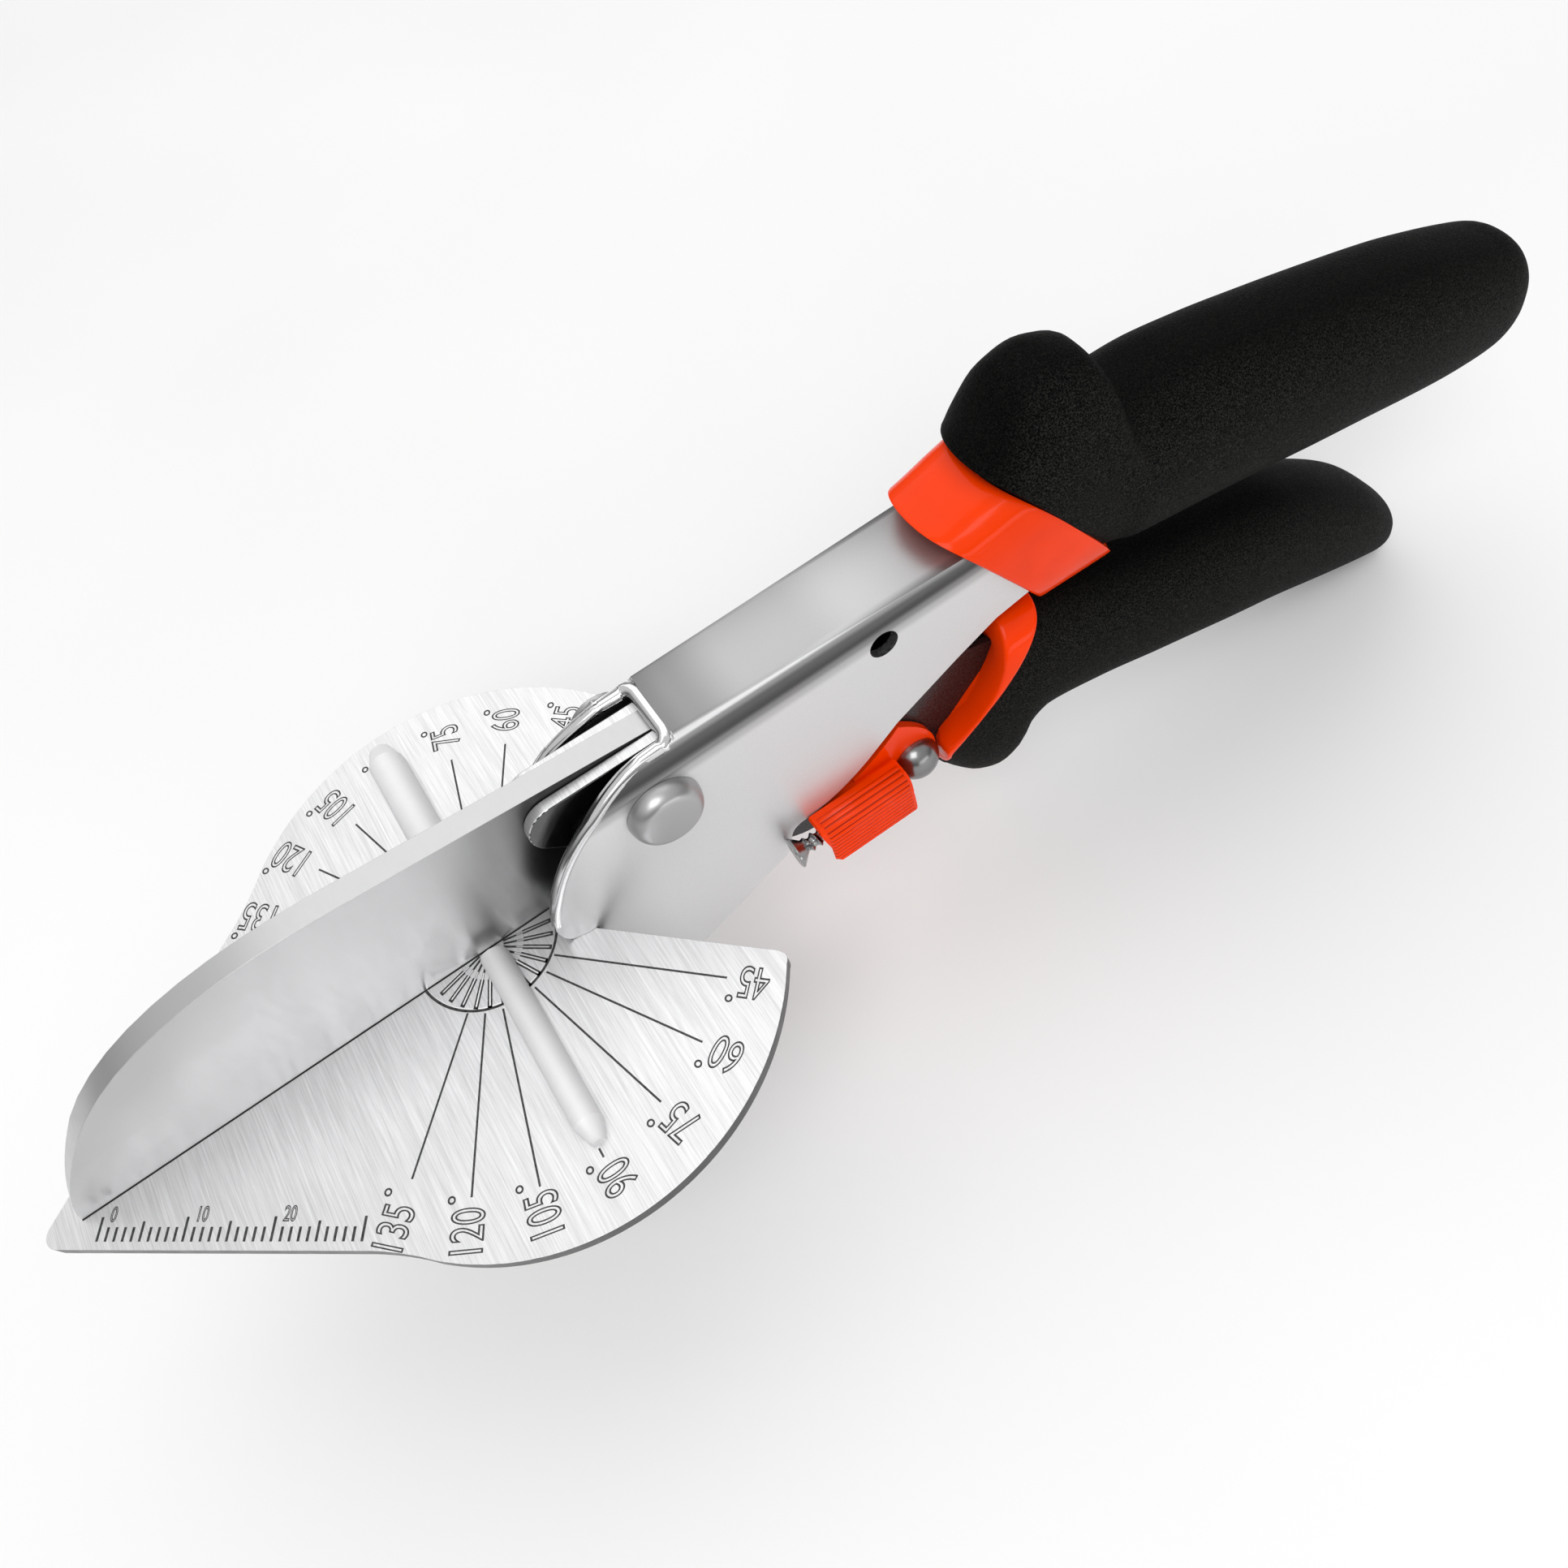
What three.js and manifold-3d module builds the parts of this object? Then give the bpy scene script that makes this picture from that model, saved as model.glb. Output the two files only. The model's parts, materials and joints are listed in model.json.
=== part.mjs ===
// Multi-angle mitre shears: a steel upper lever that carries a protractor anvil plate, crossed at a
// pivot by a lower lever that carries the blade. Shown closed, with the latch engaged.
// Millimetres. +X runs along the blade towards the handles, +Y to the far side, +Z up from the plate.
// Everything is drawn from the vertex of the angle scale, on the cutting line in the plate's top
// face, and moved at the end so that the origin is the middle of the closed shears.
import * as THREE from 'three';
import { mergeVertices } from 'three/addons/utils/BufferGeometryUtils.js';
import Module from 'manifold-3d';

const wasm = await Module();
wasm.setup();

// ---------------------------------------------------------------- driving dimensions
const CENTRE_X = 47.55;
const CENTRE_Z = -1.8;
const PIVOT_X = 24.6;
const PIVOT_Z = 12.7;
const PIVOT_R = 3.0;
const HOLE_CLEARANCE = 0.1;
const SEAT_GAP = 0.05;

const PLATE_T = 1.8;
const NOSE_X = -56.3;
const WING_X = 1.2;
const WING_Y = 5.8;
const WING_R = 30.3;
const WING_REAR = 5.4;
const NECK_HALF = 4.2;
const NECK_END_X = 20;
const SLOT_HALF = 0.22;
const SLOT_FRONT_X = -52;
const SLOT_REAR_X = 12;

const RIB_HALF = 3.6;
const RIB_FRONT_X = -46;
const STRIP_FOOT_HALF = 1.95;
const STRIP_FOOT_Z = -3.6;

const FENCE_START_Y = 1.9;
const FENCE_NEAR = { width: 3.2, height: 2.7, end: 27.4, screws: [6, 22] };
const FENCE_FAR = { width: 4.4, height: 3.2, end: 33.6, screws: [6, 28] };
const FENCE_SCREW_R = 1.0;

const BLADE_HALF = 1.5;
const BLADE_EDGE_Z = 0.15;
const CHEEK_T = 1.5;
const BLADE_RIVETS = [{ x: 33.4, z: 14.2 }, { x: 33.4, z: 7.2 }];
const BLADE_RIVET_R = 1.5;

const SHEET = 1.2;
const UPPER_HALF = 5.8;
const UPPER_TOP_Z = 21.3;
const UPPER_TOP_DROP = 0.026;
const MOUTH_X = 29.2;
const MOUTH_HALF = 4.95;
const FLANGE_HOLE = { x: 53.6, z: 15.4, r: 1.8 };
const UPPER_END_X = 124;

const LOWER_HALF = 4.05;
const LOWER_SHEET = 1.0;
const LOWER_END_X = 116;
const LOWER_WEB_START_X = 35;

const LATCH_PIVOT = { x: 54.6, z: -9.6 };
const LATCH_PIN_R = 1.25;
const LATCH_EAR_INNER = 4.25;
const LATCH_EAR_OUTER = 5.3;
const LATCH_PAD_INNER = UPPER_HALF + 0.15;
const LATCH_FLOOR_Z = -13;
const LATCH_BASE_Z = -14.2;
const LATCH_RIVET_HEAD_R = 3;
const LATCH_RIVET_RISE = 2.7;
const LATCH_PAD_END_X = 51.5;
const LATCH_SCREW = { x: 35.1, y: -7.95, z: -8 };

const SPRING_X = 50;
const SPRING_LOW_Z = 0;
const SPRING_HIGH_Z = 18.2;
const SPRING_COIL_R = 2.3;
const SPRING_WIRE_R = 0.45;

// ---------------------------------------------------------------- materials
const finish = (color, roughness, metalness) =>
  new THREE.MeshStandardMaterial({ color, roughness, metalness });
const MATERIALS = {
  brushed: finish(0xdcdcdc, 0.35, 0.95),
  polished: finish(0xd4d6d8, 0.15, 1.0),
  satin: finish(0xc9cacc, 0.32, 0.85),
  dark: finish(0x2a2a2c, 0.45, 0.7),
  orange: finish(0xf0380a, 0.22, 0.0),
  black: finish(0x161616, 0.85, 0.0),
  nylon: finish(0x2b2b2e, 0.6, 0.0),
  spring: finish(0xb9bbbd, 0.25, 1.0),
};

// ---------------------------------------------------------------- helpers
// A closed three.js geometry becomes a solid that can be joined and cut, facing outwards.
function solid(geometry) {
  const bare = geometry.clone();
  bare.deleteAttribute('normal');
  bare.deleteAttribute('uv');
  const merged = mergeVertices(bare, 1e-4);
  const body = manifoldOf(merged, merged.index.array);
  return body.volume() > 0 ? body : manifoldOf(merged, merged.index.array.toReversed());
}

const manifoldOf = (geometry, corners) => new wasm.Manifold(new wasm.Mesh({
  numProp: 3,
  vertProperties: new Float32Array(geometry.attributes.position.array),
  triVerts: new Uint32Array(corners),
}));

function geometryOf(body) {
  const mesh = body.getMesh();
  const geometry = new THREE.BufferGeometry();
  geometry.setAttribute('position', new THREE.BufferAttribute(mesh.vertProperties, 3));
  geometry.setIndex(new THREE.BufferAttribute(mesh.triVerts, 1));
  geometry.computeVertexNormals();
  return geometry;
}

const shapeOf = (points) => new THREE.Shape(points.map(([x, z]) => new THREE.Vector2(x, z)));

// An outline in the X-Z plane, extruded along Y between two values.
function slab(shape, yLow, yHigh, curveSegments = 12) {
  const geometry = new THREE.ExtrudeGeometry(shape, {
    depth: yHigh - yLow, bevelEnabled: false, curveSegments,
  });
  geometry.rotateX(Math.PI / 2);
  geometry.translate(0, yHigh, 0);
  return solid(geometry);
}

// An outline in the X-Y plane, extruded along Z between two values.
function plan(shape, zLow, zHigh, curveSegments = 12) {
  const geometry = new THREE.ExtrudeGeometry(shape, {
    depth: zHigh - zLow, bevelEnabled: false, curveSegments,
  });
  geometry.translate(0, 0, zLow);
  return solid(geometry);
}

function block(x0, x1, y0, y1, z0, z1) {
  const geometry = new THREE.BoxGeometry(x1 - x0, y1 - y0, z1 - z0);
  geometry.translate((x0 + x1) / 2, (y0 + y1) / 2, (z0 + z1) / 2);
  return solid(geometry);
}

// A body of revolution about a line along Y, from [radius, y] pairs that start and end on the axis.
function turnedY(profile, x, z, segments = 32) {
  const geometry = new THREE.LatheGeometry(
    profile.map(([r, y]) => new THREE.Vector2(r, y)), segments);
  geometry.translate(x, 0, z);
  return solid(geometry);
}

const rodY = (x, z, r, y0, y1, segments = 32) =>
  turnedY([[0, y0], [r, y0], [r, y1], [0, y1]], x, z, segments);

function turnedZ(profile, x, y, segments = 24) {
  const geometry = new THREE.LatheGeometry(
    profile.map(([r, z]) => new THREE.Vector2(r, z)), segments);
  geometry.rotateX(Math.PI / 2);
  geometry.translate(x, y, 0);
  return solid(geometry);
}

// A closed skin through rings that all have the same number of points, capped at both ends.
function loft(rings) {
  const count = rings[0].length;
  const centre = (ring) => ring.reduce((sum, p) => sum.add(p), new THREE.Vector3())
    .divideScalar(count);
  const points = [...rings.flat(), centre(rings[0]), centre(rings.at(-1))];
  const first = rings.length * count;
  const faces = [];
  for (let i = 0; i < count; i += 1) {
    const j = (i + 1) % count;
    for (let k = 0; k < rings.length - 1; k += 1) {
      const a = k * count;
      const b = a + count;
      faces.push(a + i, a + j, b + j, a + i, b + j, b + i);
    }
    const last = (rings.length - 1) * count;
    faces.push(first, j, i, first + 1, last + i, last + j);
  }
  const geometry = new THREE.BufferGeometry().setFromPoints(points);
  geometry.setIndex(faces);
  return solid(geometry);
}

// Straight-line reading of a value from [x, value] pairs.
function along(table, x) {
  const next = table.findIndex(([at]) => at >= x);
  if (next <= 0) {
    return next === 0 ? table[0][1] : table.at(-1)[1];
  }
  const [x0, v0] = table[next - 1];
  const [x1, v1] = table[next];
  return v0 + ((v1 - v0) * (x - x0)) / (x1 - x0);
}

const join = (...bodies) => bodies.reduce((sum, body) => sum.add(body));
const cut = (body, ...tools) => tools.reduce((rest, tool) => rest.subtract(tool), body);

// ---------------------------------------------------------------- anvil plate and what it carries
function plateOutline() {
  const half = new THREE.Path();
  const neckAngle = THREE.MathUtils.degToRad(133.7);
  const rearAngle = THREE.MathUtils.degToRad(34);
  half.moveTo(NOSE_X, 0);
  half.quadraticCurveTo(NOSE_X, 0.9, NOSE_X + 0.9, 1.5);
  half.lineTo(-26.2, 22.0);
  half.quadraticCurveTo(-22.5, 24.6, WING_X + WING_R * Math.cos(neckAngle),
    WING_Y + WING_R * Math.sin(neckAngle));
  half.absarc(WING_X, WING_Y, WING_R, neckAngle, rearAngle, true);
  half.quadraticCurveTo(27.4, 21.8, 25.8, 25.8 - WING_REAR);
  half.lineTo(NECK_HALF + WING_REAR, NECK_HALF);
  half.lineTo(NECK_END_X, NECK_HALF);
  const far = half.getPoints(26);
  const near = far.slice(1).reverse().map((p) => new THREE.Vector2(p.x, -p.y));
  return new THREE.Shape([...far, ...near]);
}

function fenceScrewPlaces() {
  const near = FENCE_NEAR.screws.map((y) => ({ x: 0, y: -y }));
  const far = FENCE_FAR.screws.map((y) => ({ x: 0, y }));
  return [...near, ...far];
}

const screwHole = ({ x, y }, r) => turnedZ([
  [0, 1], [r, 1], [r, -0.7], [r + 1.05, -PLATE_T], [r + 1.05, -5], [0, -5],
], x, y);

function anvilPlate() {
  const body = plan(plateOutline(), -PLATE_T, 0);
  const slot = block(SLOT_FRONT_X, SLOT_REAR_X, -SLOT_HALF, SLOT_HALF, -PLATE_T - 1, 1);
  const holes = fenceScrewPlaces().map((place) => screwHole(place, FENCE_SCREW_R + SEAT_GAP));
  return cut(body, slot, ...holes);
}

function anvilStrip() {
  const tongue = block(SLOT_FRONT_X + SEAT_GAP, SLOT_REAR_X - SEAT_GAP,
    -SLOT_HALF + SEAT_GAP, SLOT_HALF - SEAT_GAP, STRIP_FOOT_Z, 0);
  const foot = block(RIB_FRONT_X + 1, SLOT_REAR_X - SEAT_GAP,
    -STRIP_FOOT_HALF, STRIP_FOOT_HALF, STRIP_FOOT_Z, -PLATE_T - SEAT_GAP);
  const clear = block(SLOT_FRONT_X - 1, RIB_FRONT_X + 1, -1, 1, STRIP_FOOT_Z - 1, -PLATE_T);
  return cut(join(tongue, foot), clear);
}

function anvilRib() {
  const side = shapeOf([
    [RIB_FRONT_X, -PLATE_T - SEAT_GAP], [RIB_FRONT_X, -3.8], [-10, -8], [10, -10.4],
    [NECK_END_X, -10.4], [NECK_END_X, -PLATE_T - SEAT_GAP],
  ]);
  const groove = block(RIB_FRONT_X + 1 - SEAT_GAP, SLOT_REAR_X,
    -STRIP_FOOT_HALF - SEAT_GAP, STRIP_FOOT_HALF + SEAT_GAP, STRIP_FOOT_Z - SEAT_GAP, 0);
  return cut(slab(side, -RIB_HALF, RIB_HALF), groove);
}

// A bar with a half-round top and a chamfered outer end, on the plate across the cutting line.
function fence({ width, height, end }, side) {
  const ring = (y, size) => {
    const points = [];
    const steps = 8;
    const sill = height * 0.35;
    points.push(new THREE.Vector3(width / 2 * size, side * y, 0));
    for (let i = 0; i <= steps; i += 1) {
      const angle = (Math.PI * i) / steps;
      points.push(new THREE.Vector3((width / 2) * Math.cos(angle) * size, side * y,
        (sill + (height - sill) * Math.sin(angle)) * size));
    }
    points.push(new THREE.Vector3(-width / 2 * size, side * y, 0));
    return points;
  };
  return loft([ring(FENCE_START_Y, 1), ring(end - width * 0.7, 1), ring(end - 0.4, 0.62),
    ring(end, 0.4)]);
}

function fenceWithHoles(form, side) {
  const r = FENCE_SCREW_R + SEAT_GAP;
  const holes = form.screws.map((y) => turnedZ(
    [[0, 1.6], [r, 1.6], [r, -1], [0, -1]], 0, side * y));
  return cut(fence(form, side), ...holes);
}

const fenceScrew = ({ x, y }) => turnedZ([
  [0, 1.5], [FENCE_SCREW_R, 1.5], [FENCE_SCREW_R, -0.7], [FENCE_SCREW_R + 1.05, -PLATE_T],
  [0, -PLATE_T],
], x, y);

// ---------------------------------------------------------------- upper lever
const upperTop = (x) => UPPER_TOP_Z - UPPER_TOP_DROP * (x - MOUTH_X);
const UPPER_TAPER = [[65, UPPER_HALF], [UPPER_END_X, 4.4]];
const UPPER_CREST = [[MOUTH_X, MOUTH_HALF], [65, UPPER_HALF], [UPPER_END_X, 4.4]];
const UPPER_TANG_TOP = [[78, upperTop(78)], [95, 18.4], [UPPER_END_X, 9.6]];

// One half of the channel's section at x, from the crown down to below the flange.
function upperSection(x, inset) {
  const lobe = along([[7, 4.9], [10.4, UPPER_HALF], [UPPER_END_X, UPPER_HALF]], x);
  const flange = Math.min(lobe, along(UPPER_TAPER, x)) - inset;
  const crest = Math.min(along(UPPER_CREST, x) - inset, flange);
  const top = (x < 78 ? upperTop(x) : along(UPPER_TANG_TOP, x)) - inset;
  const soft = inset > 0 ? 0.4 : 0.8;
  return [
    [crest - soft, top], [crest - soft * 0.3, top - soft * 0.3], [crest, top - soft],
    [flange, 17.3 - inset * 0.3 + Math.min(0, top - 20)], [flange, -24],
  ];
}

function upperForm(inset) {
  const stations = [6, 10.4, 14, MOUTH_X, 65, 78, 95, UPPER_END_X + Math.abs(inset)];
  return loft(stations.map((x) => {
    const half = upperSection(x, inset);
    const far = half.map(([y, z]) => new THREE.Vector3(x, y, z));
    const near = half.toReversed().map(([y, z]) => new THREE.Vector3(x, -y, z));
    return [...far, ...near];
  }));
}

function upperOutline(grow = 0) {
  const shape = new THREE.Shape();
  const arc = { x: 29.2, z: -1.2, r: 22.1 };
  shape.moveTo(MOUTH_X, 26);
  shape.lineTo(MOUTH_X, 20.9);
  shape.quadraticCurveTo(MOUTH_X - 0.2, 20.5, 27.5, 20.6);
  shape.absarc(arc.x, arc.z, arc.r, THREE.MathUtils.degToRad(101), THREE.MathUtils.degToRad(169),
    false);
  shape.quadraticCurveTo(7.5, 0.05, 9.0, 0.05);
  shape.lineTo(11.5, 0.05);
  shape.lineTo(11.5, -13);
  shape.quadraticCurveTo(11.8, -18.6, 17, -18.4);
  shape.lineTo(20.9, -17.3);
  shape.lineTo(33.6, -11.6);
  shape.quadraticCurveTo(35.6, -10.9, 36.0, -8.6);
  shape.quadraticCurveTo(36.3, -6.4, 38.4, -6.4);
  shape.quadraticCurveTo(43.2, -6.2, 48.3, -3);
  shape.lineTo(53, 0.3);
  shape.lineTo(62, 4.7);
  shape.lineTo(68, 7.2);
  shape.lineTo(73, 7.9 - grow);
  shape.lineTo(92, 7.0 - grow);
  shape.lineTo(UPPER_END_X + grow, 2.4 - grow);
  shape.lineTo(UPPER_END_X + grow, 26);
  return shape;
}

function upperLever() {
  const shell = upperForm(0).subtract(upperForm(SHEET));
  const body = shell.intersect(slab(upperOutline(), -10, 10, 16));
  const mouth = block(0, MOUTH_X, -MOUTH_HALF + SHEET, MOUTH_HALF - SHEET, 16, 30);
  const pivot = rodY(PIVOT_X, PIVOT_Z, PIVOT_R + HOLE_CLEARANCE, -10, 10);
  const hole = rodY(FLANGE_HOLE.x, FLANGE_HOLE.z, FLANGE_HOLE.r, -10, 10, 24);
  return cut(body, mouth, pivot, hole);
}

// The room that the upper lever's tang takes inside the collar and grip.
function upperCavity() {
  const grown = upperForm(-SEAT_GAP);
  return grown.intersect(slab(upperOutline(SEAT_GAP), -12, 12, 16));
}

// ---------------------------------------------------------------- grips and collars
// A soft-cornered ring at x, from the bottom to the top, with the given half width.
function gripRing(x, low, high, half, squareness, count = 24) {
  const middle = (low + high) / 2;
  const rise = (high - low) / 2;
  const ring = [];
  for (let i = 0; i < count; i += 1) {
    const angle = (2 * Math.PI * i) / count;
    const c = Math.cos(angle);
    const s = Math.sin(angle);
    const bend = (v) => Math.sign(v) * Math.abs(v) ** squareness;
    ring.push(new THREE.Vector3(x, half * bend(c), middle + rise * bend(s)));
  }
  return ring;
}

const gripForm = (rows, squareness) =>
  loft(rows.map(([x, low, high, half]) => gripRing(x, low, high, half, squareness)));

// Rows are [x, bottom z, top z, half width] along each grip.
const UPPER_GRIP_ROWS = [
  [63, 6.4, 25.4, 7.6], [67, 6.2, 25.9, 7.9], [70.2, 6.0, 28.0, 8.0], [73, 5.8, 32.1, 8.2],
  [75.8, 5.6, 34.8, 8.3], [79, 5.3, 35.4, 8.4], [82.5, 4.8, 34.2, 8.4], [84.3, 4.5, 32.9, 8.5],
  [85.3, 4.4, 30.8, 8.6], [86.2, 4.2, 27.2, 8.7], [87.2, 4.0, 25.8, 8.8], [90, 3.5, 25.3, 8.9],
  [94, 2.8, 25.1, 9.0], [103, 1.2, 23.4, 9.1], [113, -0.9, 20.8, 9.1], [123, -2.9, 18.0, 9.0],
  [133, -5.0, 15.0, 8.8], [140, -6.2, 12.5, 8.4], [145.6, -6.7, 10.3, 7.8],
  [148.8, -6.4, 8.9, 6.9], [150.5, -5.4, 7.5, 5.7], [151.4, -3.8, 5.4, 3.8],
];
const LOWER_GRIP_ROWS = [
  [57, -14.0, -3.0, 6.6], [58.5, -17.5, 0.0, 7.0], [60.5, -21.2, 2.0, 7.4],
  [63.5, -25.2, 3.6, 7.8], [66.5, -26.8, 4.4, 8.1], [69, -25.2, 4.6, 8.3],
  [71, -20.6, 4.4, 8.4], [74, -18.4, 3.6, 8.6], [82, -19.8, 1.2, 8.8],
  [92, -22.8, -2.2, 9.0], [103, -26.4, -5.6, 9.0], [113, -29.7, -8.9, 8.8],
  [120, -32.4, -12.6, 8.5], [126.5, -35.0, -17.0, 8.0], [132, -37.2, -21.6, 7.3],
  [136, -38.8, -26.2, 6.4], [138.6, -39.2, -30.0, 5.1], [139.4, -38.3, -32.6, 3.4],
];
const UPPER_COLLAR_ROWS = [
  [58, 5.6, 23.0, 7.2], [64, 5.4, 23.8, 7.5], [70, 5.4, 25.2, 7.9], [76, 5.4, 26.4, 8.2],
  [88, 5.4, 27.2, 8.5],
];
const LOWER_COLLAR_ROWS = [
  [54, -13.0, -2.0, 7.2], [58, -14.4, 0.2, 7.8], [62, -15.0, 2.6, 8.2], [68, -16.2, 5.0, 8.7],
  [72, -17, 5.2, 8.8], [78, -18, 3.4, 8.6],
];

// Everything behind a front that leans back as it goes down and sweeps back to both sides.
function behind({ x, z, slope, sweep }, shift) {
  const outline = new THREE.Shape();
  outline.moveTo(240, 20);
  outline.lineTo(x + shift + 400 * sweep, 20);
  outline.quadraticCurveTo(x + shift - 400 * sweep, 0, x + shift + 400 * sweep, -20);
  outline.lineTo(240, -20);
  const geometry = new THREE.ExtrudeGeometry(outline, {
    depth: 120, bevelEnabled: false, curveSegments: 12,
  });
  geometry.translate(0, 0, -60);
  const lean = new THREE.Matrix4().set(
    1, 0, -slope, slope * z, 0, 1, 0, 0, 0, 0, 1, 0, 0, 0, 0, 1);
  return solid(geometry.applyMatrix4(lean));
}

const UPPER_SEAM = { x: 70.4, z: 25.4, slope: 0.65, sweep: 0.025 };
const UPPER_RIM = { x: 62, z: 23.4, slope: 0.64, sweep: 0.025 };
const LOWER_SEAM = { x: 69.2, z: 0, slope: -1.05, sweep: 0.004 };

// The lower collar's mouth, a D seen from the side.
function lowerMouth() {
  const shape = new THREE.Shape();
  shape.moveTo(71.5, 12);
  shape.lineTo(67.2, 1);
  shape.quadraticCurveTo(65.2, -5.2, 57.9, -9.4);
  shape.lineTo(57.9, -40);
  shape.lineTo(240, -40);
  shape.lineTo(240, 12);
  return slab(shape, -20, 20, 6);
}

function upperGrip() {
  const body = gripForm(UPPER_GRIP_ROWS, 0.86).intersect(behind(UPPER_SEAM, 0));
  return body.subtract(upperCavity());
}

function upperCollar() {
  const body = gripForm(UPPER_COLLAR_ROWS, 0.56).intersect(behind(UPPER_RIM, 0));
  return cut(body, behind(UPPER_SEAM, -SEAT_GAP), upperCavity());
}

function lowerGrip() {
  const body = gripForm(LOWER_GRIP_ROWS, 0.86)
    .intersect(behind(LOWER_SEAM, 0)).intersect(block(58.5, 240, -40, 40, -60, 60));
  return body.subtract(lowerCavity());
}

function lowerCollar() {
  const body = gripForm(LOWER_COLLAR_ROWS, 0.62).intersect(lowerMouth());
  return cut(body, behind(LOWER_SEAM, -SEAT_GAP), lowerCavity());
}

// ---------------------------------------------------------------- lower lever
// The walls stay inside the circle that lets them turn under the upper lever's crown.
function lowerOutline(grow = 0) {
  const shape = new THREE.Shape();
  shape.moveTo(22.3, 17.3);
  shape.lineTo(16.4, 14.7);
  shape.quadraticCurveTo(13.8, 13.4, 15.0, 10.6);
  shape.absarc(PIVOT_X, PIVOT_Z, 9.8, THREE.MathUtils.degToRad(192),
    THREE.MathUtils.degToRad(262), false);
  shape.quadraticCurveTo(28.5, 3.0, 31, -3.0);
  shape.quadraticCurveTo(34.4, -12.5, 41, -12.5);
  shape.lineTo(56, -12.5);
  shape.lineTo(64, -12.5 - grow);
  shape.lineTo(76, -13.6 - grow);
  shape.lineTo(LOWER_END_X + grow, -25.5 - grow);
  shape.lineTo(LOWER_END_X + grow, -15.4 + grow);
  shape.lineTo(76, -2.2 + grow);
  shape.lineTo(64, 2.6 + grow);
  shape.lineTo(28, 17.2);
  shape.quadraticCurveTo(25.4, 17.9, 22.3, 17.3);
  return shape;
}

function lowerLever() {
  const body = slab(lowerOutline(), -LOWER_HALF, LOWER_HALF, 12);
  const inside = LOWER_HALF - LOWER_SHEET;
  const trough = new THREE.Shape();
  trough.moveTo(0, 40);
  trough.lineTo(0, -40);
  trough.lineTo(LOWER_WEB_START_X, -40);
  trough.lineTo(LOWER_WEB_START_X, -11.0);
  trough.quadraticCurveTo(38, -11.5, 41, -11.5);
  trough.lineTo(64, -11.5);
  trough.lineTo(76, -12.6);
  trough.lineTo(LOWER_END_X + 2, -25.0);
  trough.lineTo(LOWER_END_X + 2, 40);
  const pivot = rodY(PIVOT_X, PIVOT_Z, PIVOT_R + HOLE_CLEARANCE, -10, 10);
  const rivets = BLADE_RIVETS.map(({ x, z }) => rodY(x, z, BLADE_RIVET_R + SEAT_GAP, -10, 10, 20));
  const latch = rodY(LATCH_PIVOT.x, LATCH_PIVOT.z, LATCH_PIN_R + SEAT_GAP, -10, 10, 20);
  return cut(body, slab(trough, -inside, inside), pivot, latch, ...rivets);
}

function lowerCavity() {
  return slab(lowerOutline(SEAT_GAP), -LOWER_HALF - SEAT_GAP, LOWER_HALF + SEAT_GAP, 12);
}

// ---------------------------------------------------------------- blade and its two cheeks
function bladeOutline() {
  const shape = new THREE.Shape();
  shape.moveTo(-51.9, BLADE_EDGE_Z);
  shape.lineTo(9.4, BLADE_EDGE_Z);
  shape.quadraticCurveTo(11.5, 3.4, 16, 4.0);
  shape.lineTo(37.6, 4.0);
  shape.lineTo(37.6, 12.6);
  shape.lineTo(31.5, 18.2);
  shape.quadraticCurveTo(30, 19.6, 28.6, 19.7);
  shape.lineTo(-9, 23.6);
  shape.bezierCurveTo(-22, 24.9, -34, 22.6, -42, 14.8);
  shape.bezierCurveTo(-47, 9.6, -50.6, 4.6, -51.9, BLADE_EDGE_Z);
  return shape;
}

// The wedge that thins the blade from its spine down to the edge, ahead of the cheeks.
function bladeGrind() {
  const section = [[0.12, BLADE_EDGE_Z - 0.1], [0.8, 5], [1.28, 10], [BLADE_HALF, 15],
    [BLADE_HALF, 30]];
  const full = section.map(([, z]) => [BLADE_HALF, z]);
  const ring = (x, half) => [
    ...half.map(([y, z]) => new THREE.Vector3(x, y, z)),
    ...half.toReversed().map(([y, z]) => new THREE.Vector3(x, -y, z)),
  ];
  return loft([ring(-60, section), ring(8, section), ring(14, full), ring(40, full)]);
}

function blade() {
  const body = slab(bladeOutline(), -BLADE_HALF, BLADE_HALF, 10).intersect(bladeGrind());
  const pivot = rodY(PIVOT_X, PIVOT_Z, PIVOT_R + HOLE_CLEARANCE, -10, 10);
  const rivets = BLADE_RIVETS.map(({ x, z }) => rodY(x, z, BLADE_RIVET_R + SEAT_GAP, -10, 10, 20));
  return cut(body, pivot, ...rivets);
}

function cheekOutline() {
  const shape = new THREE.Shape();
  shape.moveTo(14.6, 19.9);
  shape.absarc(14.6, 16.5, 3.4, Math.PI / 2, (Math.PI * 5) / 4, false);
  shape.lineTo(18.6, 7.6);
  shape.quadraticCurveTo(21, 5.0, 24.6, 4.8);
  shape.lineTo(36.8, 4.8);
  shape.lineTo(36.8, 12.4);
  shape.lineTo(31, 18);
  shape.quadraticCurveTo(29.4, 19.5, 27.8, 19.6);
  return shape;
}

function bladeCheek(side) {
  const inner = BLADE_HALF + 0.01;
  const outer = BLADE_HALF + CHEEK_T;
  const [low, high] = side < 0 ? [-outer, -inner] : [inner, outer];
  const pivot = rodY(PIVOT_X, PIVOT_Z, PIVOT_R + HOLE_CLEARANCE, -10, 10);
  const rivets = BLADE_RIVETS.map(({ x, z }) => rodY(x, z, BLADE_RIVET_R + SEAT_GAP, -10, 10, 20));
  return cut(slab(cheekOutline(), low, high, 10), pivot, ...rivets);
}

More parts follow.
